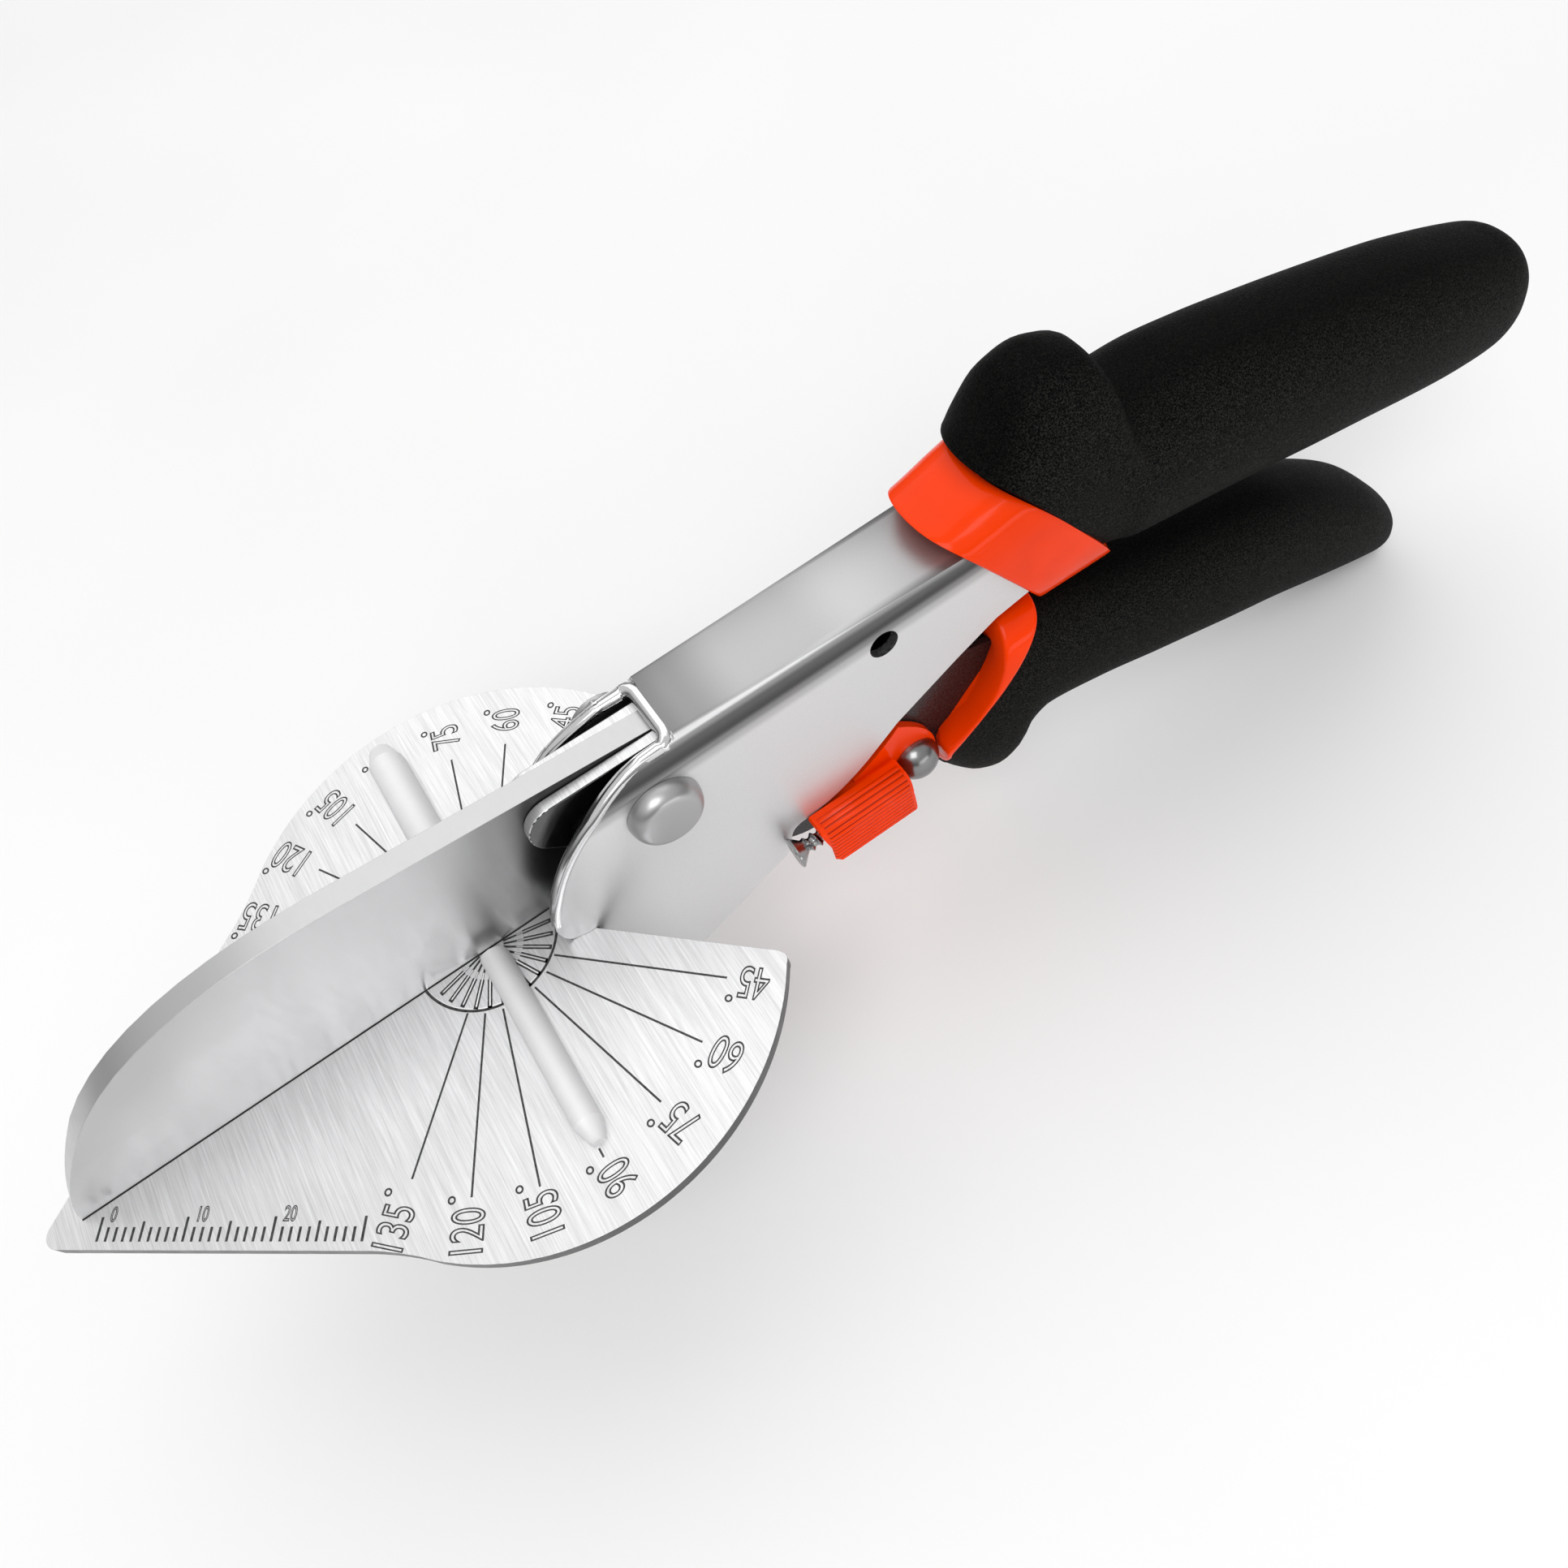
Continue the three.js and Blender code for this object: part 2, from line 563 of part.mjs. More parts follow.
// ---------------------------------------------------------------- pivot and fasteners
function pivotBolt() {
  const face = UPPER_HALF + SEAT_GAP;
  return turnedY([
    [0, -face - 2.3], [2.6, -face - 2.3], [3.7, -face - 1.95], [4.3, -face - 1.1], [4.4, -face],
    [PIVOT_R, -face], [PIVOT_R, face - 0.3], [2.8, face - 0.1], [2.8, face + 3.6], [2.3, face + 4.1],
    [0, face + 4.1],
  ], PIVOT_X, PIVOT_Z);
}

function pivotNut() {
  const face = UPPER_HALF + SEAT_GAP;
  const hex = turnedY([[0, face], [4.6, face], [4.6, face + 2.3], [0, face + 2.3]],
    PIVOT_X, PIVOT_Z, 6);
  const collar = rodY(PIVOT_X, PIVOT_Z, 3.8, face + 2, face + 3.2, 24);
  return cut(join(hex, collar), rodY(PIVOT_X, PIVOT_Z, 2.9, 0, 20));
}

function pivotWasher(side) {
  const low = LOWER_HALF + 0.03;
  const high = UPPER_HALF - SHEET - 0.03;
  const [y0, y1] = side < 0 ? [-high, -low] : [low, high];
  return cut(rodY(PIVOT_X, PIVOT_Z, 4.2, y0, y1),
    rodY(PIVOT_X, PIVOT_Z, PIVOT_R + HOLE_CLEARANCE, -10, 10));
}

const bladeRivet = ({ x, z }) =>
  rodY(x, z, BLADE_RIVET_R, -LOWER_HALF + 0.02, LOWER_HALF - 0.02, 20);

// ---------------------------------------------------------------- main spring and its two posts
function springPostUpper() {
  const web = upperTop(SPRING_X) - SHEET - 0.1;
  return turnedZ([[0, web], [2.7, web], [2.7, SPRING_HIGH_Z], [1.6, SPRING_HIGH_Z],
    [1.4, 13.6], [0, 13.4]], SPRING_X, 0);
}

function springPostLower() {
  const web = -11.5 + SEAT_GAP;
  return turnedZ([[0, web], [2.7, web], [2.7, SPRING_LOW_Z], [1.6, SPRING_LOW_Z],
    [1.4, SPRING_LOW_Z + 4.6], [0, SPRING_LOW_Z + 4.8]], SPRING_X, 0);
}

class Helix extends THREE.Curve {
  constructor(x, radius, low, high, turns) {
    super();
    Object.assign(this, { x, radius, low, high, turns });
  }

  getPoint(t, target = new THREE.Vector3()) {
    const angle = 2 * Math.PI * this.turns * t;
    return target.set(this.x + this.radius * Math.cos(angle), this.radius * Math.sin(angle),
      this.low + (this.high - this.low) * t);
  }
}

function mainSpring() {
  const turns = 7;
  const path = new Helix(SPRING_X, SPRING_COIL_R, SPRING_LOW_Z + SPRING_WIRE_R + 0.05,
    SPRING_HIGH_Z - SPRING_WIRE_R - 0.05, turns);
  const wire = new THREE.Shape();
  wire.absarc(0, 0, SPRING_WIRE_R, 0, 2 * Math.PI, false);
  return solid(new THREE.ExtrudeGeometry(wire, {
    steps: turns * 12, extrudePath: path, curveSegments: 3, bevelEnabled: false,
  }));
}

// ---------------------------------------------------------------- latch
// Side view of the whole saddle, whose top keeps just under the upper lever's flange.
function latchOutline() {
  const shape = new THREE.Shape();
  shape.moveTo(38.7, -6.6);
  shape.lineTo(38.9, -6.1);
  shape.lineTo(46.2, -6.1);
  shape.quadraticCurveTo(49.8, -4.6, 53.2, -1.5);
  shape.quadraticCurveTo(58.4, -5.8, 57.6, -10.4);
  shape.quadraticCurveTo(56.8, -12.7, 54.6, -12.7);
  shape.lineTo(LATCH_PAD_END_X, -12.7);
  shape.quadraticCurveTo(LATCH_PAD_END_X, LATCH_BASE_Z, LATCH_PAD_END_X - 0.9, LATCH_BASE_Z);
  shape.lineTo(42, LATCH_BASE_Z);
  shape.quadraticCurveTo(40.4, LATCH_BASE_Z, 39.8, -12);
  return shape;
}

// End view: an ear against the lower lever, then the thumb pad's rounded shoulder and side.
function latchSection() {
  const half = new THREE.Path();
  half.moveTo(LATCH_EAR_OUTER, 4);
  half.lineTo(LATCH_EAR_OUTER, -6.9);
  half.lineTo(LATCH_PAD_INNER, -6.9);
  half.lineTo(LATCH_PAD_INNER, -6.1);
  half.lineTo(8.2, -6.1);
  half.quadraticCurveTo(9.4, -6.3, 9.4, -8.4);
  half.lineTo(9.4, -13.4);
  half.quadraticCurveTo(9.4, LATCH_BASE_Z, 8.6, LATCH_BASE_Z);
  const far = half.getPoints(5);
  const near = far.toReversed().map((p) => new THREE.Vector2(-p.x, p.y));
  return new THREE.Shape([...far, ...near]);
}

function latchProfile() {
  const geometry = new THREE.ExtrudeGeometry(latchSection(), { depth: 22, bevelEnabled: false });
  geometry.rotateX(Math.PI / 2);
  geometry.rotateZ(Math.PI / 2);
  geometry.translate(38, 0, 0);
  return solid(geometry);
}

// A saddle under both levers: two thumb pads, a floor, and two ears that turn on the rivet.
function latch() {
  const body = slab(latchOutline(), -12, 12, 8).intersect(latchProfile());
  const trough = block(30, 60, -LATCH_EAR_INNER, LATCH_EAR_INNER, LATCH_FLOOR_Z, 20);
  // Clears the nose of the upper lever's flanges, which swings through here as the levers open.
  const swing = slab(shapeOf([
    [30, 0], [30, -12.8], [39.4, -12.3], [42.3, -8.2], [44.4, -6.9], [46, -6.9], [46, 0],
  ]), -LATCH_PAD_INNER, LATCH_PAD_INNER);
  const notches = [-1, 1].map((side) => {
    const [y0, y1] = side < 0 ? [-12, -LATCH_EAR_OUTER] : [LATCH_EAR_OUTER, 12];
    return join(rodY(LATCH_PIVOT.x, LATCH_PIVOT.z, LATCH_RIVET_HEAD_R + 0.15, y0, y1, 24),
      block(LATCH_PAD_END_X, 60, y0, y1, -20, 0));
  });
  const bore = rodY(LATCH_PIVOT.x, LATCH_PIVOT.z, LATCH_PIN_R + HOLE_CLEARANCE, -12, 12, 20);
  return cut(body, trough, swing, ...notches, bore, screwForm(HOLE_CLEARANCE * 0.5));
}

function latchRivet() {
  const face = LATCH_EAR_OUTER + SEAT_GAP;
  const dome = [0, 22.5, 45, 67.5, 90].map((degrees) => {
    const turn = THREE.MathUtils.degToRad(degrees);
    return [LATCH_RIVET_HEAD_R * Math.cos(turn), face + LATCH_RIVET_RISE * Math.sin(turn)];
  });
  const near = dome.toReversed().map(([r, y]) => [r, -y]);
  return turnedY([...near, [LATCH_PIN_R, -face], [LATCH_PIN_R, face], ...dome],
    LATCH_PIVOT.x, LATCH_PIVOT.z, 24);
}

// The countersunk screw in the front of the near pad, whose head is the catch.
function screwForm(grow) {
  const profile = [[0, 0], [2 + grow, 0], [2 + grow, 0.4], [1 + grow, 1.7],
    [1 + grow, 13 + grow], [0, 13.6 + grow]];
  const geometry = new THREE.LatheGeometry(
    profile.map(([r, x]) => new THREE.Vector2(r, x)), 20);
  geometry.rotateZ(-Math.PI / 2);
  geometry.translate(LATCH_SCREW.x, LATCH_SCREW.y, LATCH_SCREW.z);
  return solid(geometry);
}

// ---------------------------------------------------------------- assembly
const shears = new THREE.Group();

function add(name, material, body) {
  const mesh = new THREE.Mesh(geometryOf(body), material);
  mesh.geometry.translate(-CENTRE_X, 0, -CENTRE_Z);
  mesh.name = name;
  shears.add(mesh);
}

add('upper_lever', MATERIALS.satin, upperLever());
add('upper_collar', MATERIALS.orange, upperCollar());
add('upper_grip', MATERIALS.black, upperGrip());
add('anvil_plate', MATERIALS.brushed, anvilPlate());
add('anvil_strip', MATERIALS.nylon, anvilStrip());
add('anvil_rib', MATERIALS.dark, anvilRib());
add('fence_near', MATERIALS.satin, fenceWithHoles(FENCE_NEAR, -1));
add('fence_far', MATERIALS.satin, fenceWithHoles(FENCE_FAR, 1));
fenceScrewPlaces().forEach((place, i) => {
  const names = ['near_inner', 'near_outer', 'far_inner', 'far_outer'];
  add(`fence_screw_${names[i]}`, MATERIALS.spring, fenceScrew(place));
});
add('pivot_bolt', MATERIALS.satin, pivotBolt());
add('pivot_nut', MATERIALS.satin, pivotNut());
add('pivot_washer_near', MATERIALS.nylon, pivotWasher(-1));
add('pivot_washer_far', MATERIALS.nylon, pivotWasher(1));
add('spring_post_upper', MATERIALS.spring, springPostUpper());

add('lower_lever', MATERIALS.dark, lowerLever());
add('lower_collar', MATERIALS.orange, lowerCollar());
add('lower_grip', MATERIALS.black, lowerGrip());
add('blade', MATERIALS.polished, blade());
add('blade_cheek_near', MATERIALS.brushed, bladeCheek(-1));
add('blade_cheek_far', MATERIALS.brushed, bladeCheek(1));
add('blade_rivet_upper', MATERIALS.satin, bladeRivet(BLADE_RIVETS[0]));
add('blade_rivet_lower', MATERIALS.satin, bladeRivet(BLADE_RIVETS[1]));
add('spring_post_lower', MATERIALS.spring, springPostLower());
add('main_spring', MATERIALS.spring, mainSpring());

add('latch', MATERIALS.orange, latch());
add('latch_rivet', MATERIALS.polished, latchRivet());
add('latch_screw', MATERIALS.spring, screwForm(0));

export default shears;
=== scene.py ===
"""Multi-angle mitre shears: finished surfaces, materials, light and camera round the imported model."""

import json
import math

import bmesh
import bpy
from mathutils import Matrix, Vector


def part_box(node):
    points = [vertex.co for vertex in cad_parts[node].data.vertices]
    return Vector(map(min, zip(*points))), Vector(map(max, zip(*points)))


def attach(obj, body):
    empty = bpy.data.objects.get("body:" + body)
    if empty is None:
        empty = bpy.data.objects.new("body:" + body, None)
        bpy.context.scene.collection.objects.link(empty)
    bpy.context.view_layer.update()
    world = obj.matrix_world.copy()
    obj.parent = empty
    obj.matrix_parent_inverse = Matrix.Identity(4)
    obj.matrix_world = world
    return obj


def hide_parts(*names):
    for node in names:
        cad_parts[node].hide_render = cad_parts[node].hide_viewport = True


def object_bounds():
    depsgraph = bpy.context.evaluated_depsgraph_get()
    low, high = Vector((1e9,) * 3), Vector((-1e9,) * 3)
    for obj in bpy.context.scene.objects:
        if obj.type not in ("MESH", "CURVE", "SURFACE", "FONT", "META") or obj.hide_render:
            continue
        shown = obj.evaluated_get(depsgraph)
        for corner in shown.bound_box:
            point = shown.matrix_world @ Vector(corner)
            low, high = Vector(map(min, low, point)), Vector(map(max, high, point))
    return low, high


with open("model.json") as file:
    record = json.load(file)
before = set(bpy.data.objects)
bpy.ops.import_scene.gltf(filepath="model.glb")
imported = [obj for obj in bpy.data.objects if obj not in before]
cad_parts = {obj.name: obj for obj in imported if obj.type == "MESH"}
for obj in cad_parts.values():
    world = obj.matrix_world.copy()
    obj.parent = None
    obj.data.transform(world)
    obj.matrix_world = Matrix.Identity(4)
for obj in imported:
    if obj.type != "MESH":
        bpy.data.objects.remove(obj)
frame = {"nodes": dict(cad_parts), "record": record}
CAD_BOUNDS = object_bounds()
MM = 0.001

# ---------------------------------------------------------------- places, in mm from the scale's vertex
NOSE_LENGTH = 56.3
plate_low, plate_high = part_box("anvil_plate")
VERTEX = Vector((plate_low.x + NOSE_LENGTH * MM, 0, plate_high.z))


def at(x, y, z):
    """A point given in millimetres from the vertex of the angle scale, in the frame."""
    return VERTEX + Vector((x, y, z)) * MM


def joint_place(name):
    """Where a joint of the record lies, in millimetres from the vertex."""
    joint = next(j for j in frame["record"]["behaviour"]["joints"] if j["name"] == name)
    return (Vector(joint["pos_m"]) - VERTEX) / MM


PIVOT = joint_place("lever_pivot")
LATCH_PIVOT = joint_place("latch_turn")

# The upper lever: its sheet, the mouth at the front of its web, its flanges and the hole in them.
SHEET = 1.2
MOUTH_X = 29.2
MOUTH_HALF = 4.95
FLANGE_HALF = 5.8
FLANGE_HOLE_X = 53.6
FLANGE_HOLE_Z = 15.4
# The arc of the flanges' front edge.
FRONT_ARC_X = 29.2
FRONT_ARC_Z = -1.2
FRONT_ARC_R = 22.1

# How fine meshes are merged and rounded.
MERGE = 0.01 * MM
SLIVER = 0.005 * MM
FLAT_ANGLE = 1.5
SHARP_ANGLE = 32
EDGE_SEGMENTS = 3


# ---------------------------------------------------------------- materials
class Look:
    """A Principled material and its node tree, with short calls for the nodes that are used here."""

    def __init__(self, name, color, metallic=0.0, roughness=0.5, specular=0.5, coat=0.0):
        self.material = bpy.data.materials.new(name)
        self.material.use_nodes = True
        self.tree = self.material.node_tree
        self.shader = self.tree.nodes["Principled BSDF"]
        self.shader.inputs["Base Color"].default_value = (*color, 1)
        self.shader.inputs["Metallic"].default_value = metallic
        self.shader.inputs["Roughness"].default_value = roughness
        self.shader.inputs["Specular IOR Level"].default_value = specular
        self.shader.inputs["Coat Weight"].default_value = coat
        self.shader.inputs["Coat Roughness"].default_value = 0.08

    def node(self, kind, **values):
        """A new node with its properties set."""
        node = self.tree.nodes.new(kind)
        for key, value in values.items():
            setattr(node, key, value)
        return node

    def link(self, source, target):
        """Joins an output to an input."""
        self.tree.links.new(source, target)

    def place(self, scale):
        """Object coordinates, stretched by scale (in 1/m) on each axis."""
        coordinates = self.node("ShaderNodeTexCoord")
        mapping = self.node("ShaderNodeMapping")
        mapping.inputs["Scale"].default_value = scale
        self.link(coordinates.outputs["Object"], mapping.inputs["Vector"])
        return mapping.outputs["Vector"]

    def noise(self, scale, detail=3.0, roughness=0.6):
        """Noise in object space, with scale in 1/m on each axis."""
        noise = self.node("ShaderNodeTexNoise")
        noise.inputs["Scale"].default_value = 1.0
        noise.inputs["Detail"].default_value = detail
        noise.inputs["Roughness"].default_value = roughness
        self.link(self.place(scale), noise.inputs["Vector"])
        return noise.outputs["Fac"]

    def span(self, value, low, high, start=0.3, end=0.7):
        """Value read from start to end, turned into low to high."""
        node = self.node("ShaderNodeMapRange")
        node.inputs["From Min"].default_value = start
        node.inputs["From Max"].default_value = end
        node.inputs["To Min"].default_value = low
        node.inputs["To Max"].default_value = high
        self.link(value, node.inputs["Value"])
        return node.outputs["Result"]

    def tint(self, value, dark, light):
        """The base colour, from dark at 0 to light at 1."""
        mix = self.node("ShaderNodeMix", data_type="RGBA")
        mix.inputs["A"].default_value = (*dark, 1)
        mix.inputs["B"].default_value = (*light, 1)
        self.link(value, mix.inputs["Factor"])
        self.link(mix.outputs["Result"], self.shader.inputs["Base Color"])

    def facing(self, axis):
        """How squarely a face looks along an axis of the frame, 0 to 1."""
        coordinates = self.node("ShaderNodeTexCoord")
        dot = self.node("ShaderNodeVectorMath", operation="DOT_PRODUCT")
        dot.inputs[1].default_value = axis
        self.link(coordinates.outputs["Normal"], dot.inputs[0])
        size = self.node("ShaderNodeMath", operation="ABSOLUTE")
        self.link(dot.outputs["Value"], size.inputs[0])
        return size.outputs["Value"]

    def along(self, axis):
        """Position along a direction of the frame, in metres from the origin."""
        coordinates = self.node("ShaderNodeTexCoord")
        dot = self.node("ShaderNodeVectorMath", operation="DOT_PRODUCT")
        dot.inputs[1].default_value = axis
        self.link(coordinates.outputs["Object"], dot.inputs[0])
        return dot.outputs["Value"]

    def levels(self, value, stops):
        """A value read through (place, level) stops that join up smoothly."""
        first, last = stops[0][0], stops[-1][0]
        ramp = self.node("ShaderNodeValToRGB")
        ramp.color_ramp.interpolation = "EASE"
        while len(ramp.color_ramp.elements) < len(stops):
            ramp.color_ramp.elements.new(0.5)
        for element, (place, level) in zip(ramp.color_ramp.elements, stops):
            element.position = (place - first) / (last - first)
            element.color = (level, level, level, 1)
        self.link(self.span(value, 0, 1, first, last), ramp.inputs["Fac"])
        return ramp.outputs["Color"]

    def masked(self, level, mask):
        """A level that holds where the mask is 1 and leaves 1 where the mask is 0."""
        mix = self.node("ShaderNodeMix", data_type="FLOAT")
        mix.inputs["A"].default_value = 1.0
        self.link(mask, mix.inputs["Factor"])
        self.link(level, mix.inputs["B"])
        return mix.outputs["Result"]

    def product(self, first, *others):
        """Levels multiplied together."""
        for other in others:
            times = self.node("ShaderNodeMath", operation="MULTIPLY")
            self.link(first, times.inputs[0])
            self.link(other, times.inputs[1])
            first = times.outputs["Value"]
        return first

    def vary_roughness(self, value, low, high):
        """Roughness that follows a value between low and high."""
        self.link(self.span(value, low, high), self.shader.inputs["Roughness"])

    def bump(self, value, depth, strength):
        """A fine relief of the surface, whose depth is in metres."""
        bump = self.node("ShaderNodeBump")
        bump.inputs["Distance"].default_value = depth
        bump.inputs["Strength"].default_value = strength
        self.link(value, bump.inputs["Height"])
        self.link(bump.outputs["Normal"], self.shader.inputs["Normal"])


def grey(value):
    """A neutral colour, very slightly cold."""
    return (value, value, value * 1.01)


# Painted light on the upper lever's sheet, as (place in mm, level): painted shade by height from the
# flange over the bend to the web with a painted highlight on its crest, painted shade along the web
# behind the mouth, and painted shade along the flanges' rounded nose.
BEND_PAINTED_LIGHT = [(15.2, 1.0), (16.4, 0.72), (17.4, 0.36), (18.4, 0.1), (19.5, 0.16), (20.2, 0.4),
              (20.7, 1.15), (20.85, 1.0)]
WEB_PAINTED_SHADE = [(29, 0.3), (32, 0.38), (39, 0.6)]
NOSE_PAINTED_SHADE = [(9, 0.7), (21, 1)]
# Painted shade on the blade's sides, darker towards the cheeks: a level by the distance in mm behind a
# slanted line across the blade.
BLADE_PAINTED_SHADE = [(0, 1), (6, 0.5), (12, 0.05), (40, 0.03)]
BLADE_PAINTED_SHADE_X = -3.5
BLADE_PAINTED_SHADE_SLANT = 0.3


def plate_look():
    """Bright sheet, brushed across the cutting line in long fine strokes."""
    look = Look("plate_brushed", grey(0.86), metallic=0.8, specular=0.3)
    fine = look.noise((5200, 110, 110), detail=4, roughness=0.7)
    broad = look.noise((900, 40, 40), detail=2)
    look.tint(look.span(fine, 0, 1), grey(0.62), grey(0.86))
    look.vary_roughness(broad, 0.34, 0.46)
    look.bump(fine, 0.02 * MM, 0.45)
    return look.material


def lever_look():
    """Satin plated sheet with a fine matte grain, and painted shade over the bend, mouth and nose."""
    look = Look("lever_satin", grey(0.7), metallic=0.75, specular=0.3)
    fine = look.noise((5200, 5200, 5200), detail=3)
    grain = look.span(fine, 0.94, 1.0)
    # Painted shade over the bend with a painted highlight on its crest, and painted shade on the web
    # behind the mouth and on the flanges' nose.
    bend_painted_light = look.levels(look.along((0, 0, 1)), [(at(0, 0, z).z, level) for z, level in BEND_PAINTED_LIGHT])
    top = look.span(look.facing((0, 0, 1)), 0, 1, 0.8, 0.95)
    rear = look.along((1, 0, 0))
    web_painted_shade = look.levels(rear, [(at(x, 0, 0).x, level) for x, level in WEB_PAINTED_SHADE])
    nose_painted_shade = look.levels(rear, [(at(x, 0, 0).x, level) for x, level in NOSE_PAINTED_SHADE])
    look.tint(look.product(grain, bend_painted_light, look.masked(web_painted_shade, top), nose_painted_shade), grey(0.0), grey(0.76))
    look.vary_roughness(fine, 0.36, 0.44)
    look.bump(fine, 0.02 * MM, 0.3)
    return look.material


def blade_look():
    """Ground and polished steel, with painted shade on its sides towards the cheeks."""
    look = Look("blade_ground", grey(0.58), metallic=0.8, specular=0.3)
    strokes = look.noise((2600, 500, 260), detail=3)
    broad = look.noise((60, 60, 60), detail=2)
    side = look.facing((0, 1, 0))
    start = at(BLADE_PAINTED_SHADE_X, 0, 0).x - BLADE_PAINTED_SHADE_SLANT * at(0, 0, 0).z
    # Painted shade: the sides darken towards the cheeks, behind a slanted line across the blade.
    inward = look.levels(look.along((1, 0, -BLADE_PAINTED_SHADE_SLANT)),
                         [(start + distance * MM, level) for distance, level in BLADE_PAINTED_SHADE])
    shade = look.product(inward, look.span(broad, 0.94, 1.0))
    look.tint(look.masked(shade, look.span(side, 0, 1, 0.5, 0.9)), grey(0.0), grey(0.54))
    look.vary_roughness(strokes, 0.3, 0.36)
    look.bump(strokes, 0.005 * MM, 0.15)
    return look.material


def bright_look(name, tone, low, high, metallic=1.0):
    """Turned or plated steel with faint marks."""
    look = Look(name, grey(tone), metallic=metallic)
    marks = look.noise((400, 400, 400), detail=2)
    look.tint(look.span(marks, 0, 1), grey(tone * 0.97), grey(tone))
    look.vary_roughness(marks, low, high)
    return look.material


def dark_steel_look():
    """Very dark steel of the lower lever."""
    look = Look("steel_very_dark", grey(0.03), metallic=0.5)
    fine = look.noise((3000, 3000, 3000), detail=3)
    look.tint(look.span(fine, 0, 1), grey(0.014), grey(0.04))
    look.vary_roughness(fine, 0.22, 0.34)
    look.bump(fine, 0.02 * MM, 0.3)
    return look.material


def orange_look(name, share=1.0):
    """Glossy moulded plastic, with a slow unevenness from the mould; a share under 1 is painted shade.
    """
    look = Look(name, (0.95, 0.05, 0.0), roughness=0.16, specular=0.1, coat=0.08)
    broad = look.noise((110, 110, 110), detail=2)
    fine = look.noise((1400, 1400, 1400), detail=2)
    look.tint(look.span(broad, 0.88 * share, share), (0.0, 0.0, 0.0), (0.97, 0.048, 0.0))
    look.vary_roughness(fine, 0.12, 0.2)
    look.bump(broad, 0.6 * MM, 0.3)
    return look.material


def grip_look():
    """Matte black rubber with a pebbled grain and lighter flecks, with a painted highlight on the
    flanks.
    """
    look = Look("grip_rubber", grey(0.004), roughness=0.75, specular=0.03)
    grain = look.noise((3600, 3600, 3600), detail=2, roughness=0.55)
    flecks = look.noise((5600, 5600, 5600), detail=2, roughness=0.7)
    # Painted highlight: the flecks are lighter on faces that look along y and dimmed on top.
    flank_painted_highlight = look.span(look.facing((0, 1, 0)), 0.3, 1, 0.3, 0.95)
    look.tint(look.product(look.span(flecks, 0, 1, 0.44, 0.74), flank_painted_highlight), grey(0.001),
              (0.036, 0.0355, 0.032))
    look.vary_roughness(grain, 0.5, 0.7)
    look.bump(grain, 0.14 * MM, 0.7)
    return look.material


def nylon_look():
    """Dark moulded nylon."""
    look = Look("nylon_dark", grey(0.03), roughness=0.55, specular=0.3)
    fine = look.noise((2000, 2000, 2000), detail=3)
    look.tint(look.span(fine, 0, 1), grey(0.02), grey(0.045))
    look.vary_roughness(fine, 0.45, 0.6)
    look.bump(fine, 0.04 * MM, 0.4)
    return look.material


def mark_look():
    """Dull dark steel: the floor of an engraved mark, and painted shade on the wall of the flange hole.
    """
    look = Look("engraved_mark_and_painted_shade", grey(0.13), metallic=0.2, specular=0.3)
    fine = look.noise((2200, 2200, 2200), detail=3)
    look.tint(look.span(fine, 0, 1), grey(0.02), grey(0.1))
    look.vary_roughness(fine, 0.45, 0.65)
    look.bump(fine, 0.02 * MM, 0.5)
    return look.material


LOOKS = {
    "plate_steel": plate_look(),
    "lever_steel": lever_look(),
    "blade_steel": blade_look(),
    "dark_steel": dark_steel_look(),
    "fence_metal": bright_look("fence_satin", 0.84, 0.5, 0.58, metallic=0.15),
    "fastener_steel": bright_look("fastener_bright", 0.46, 0.34, 0.4),
    "spring_steel": bright_look("spring_bright", 0.6, 0.22, 0.34),
    "orange_plastic": orange_look("orange_gloss"),
    "grip_black": grip_look(),
    "nylon_dark": nylon_look(),
}
MARK_AND_PAINTED_SHADE = mark_look()
CUT_EDGE = bright_look("sheared_edge", 0.7, 0.1, 0.18)
# Painted shade: the plate's side faces are dark steel, to stand for the shaded edge under its rim.
PLATE_SIDE_PAINTED_SHADE = bright_look("plate_side_painted_shade", 0.09, 0.3, 0.4)
SCREW_STEEL = bright_look("screw_steel", 0.34, 0.16, 0.24)
RIVET_STEEL = bright_look("rivet_steel", 0.26, 0.24, 0.3)
# Painted shade: the grooves between the latch ridges get the orange at half its brightness.
RIDGE_GROOVE_PAINTED_SHADE = orange_look("orange_groove_painted_shade", share=0.5)
# Painted shade: the cheeks' side faces are near-black steel, to stand for their shaded sides.
CHEEK_SIDE_PAINTED_SHADE = bright_look("cheek_side_painted_shade", 0.1, 0.16, 0.22)
SLOT_OF = {part["node"]: part["material_slot"] for part in frame["record"]["subparts"]}
BODIES = frame["record"]["behaviour"]["bodies"]
BODY_OF = {node: body for body, nodes in BODIES.items() for node in nodes}


# ---------------------------------------------------------------- making pieces
def smooth(mesh, angle=SHARP_ANGLE):
    """Round shading, kept sharp where faces meet at more than the angle."""
    mesh.shade_smooth()
    mesh.set_sharp_from_angle(angle=math.radians(angle))


def piece(name, mesh, node, body=None, slot=None):
    """A finished piece. It stands for a CAD node and moves with its body, or is an extra on a body."""
    obj = bpy.data.objects.new(name, mesh)
    bpy.context.scene.collection.objects.link(obj)
    slot = slot or SLOT_OF[node]
    if not mesh.materials:
        mesh.materials.append(LOOKS[slot])
    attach(obj, body or BODY_OF[node])
    if node and body is None:
        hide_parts(node)
    return obj


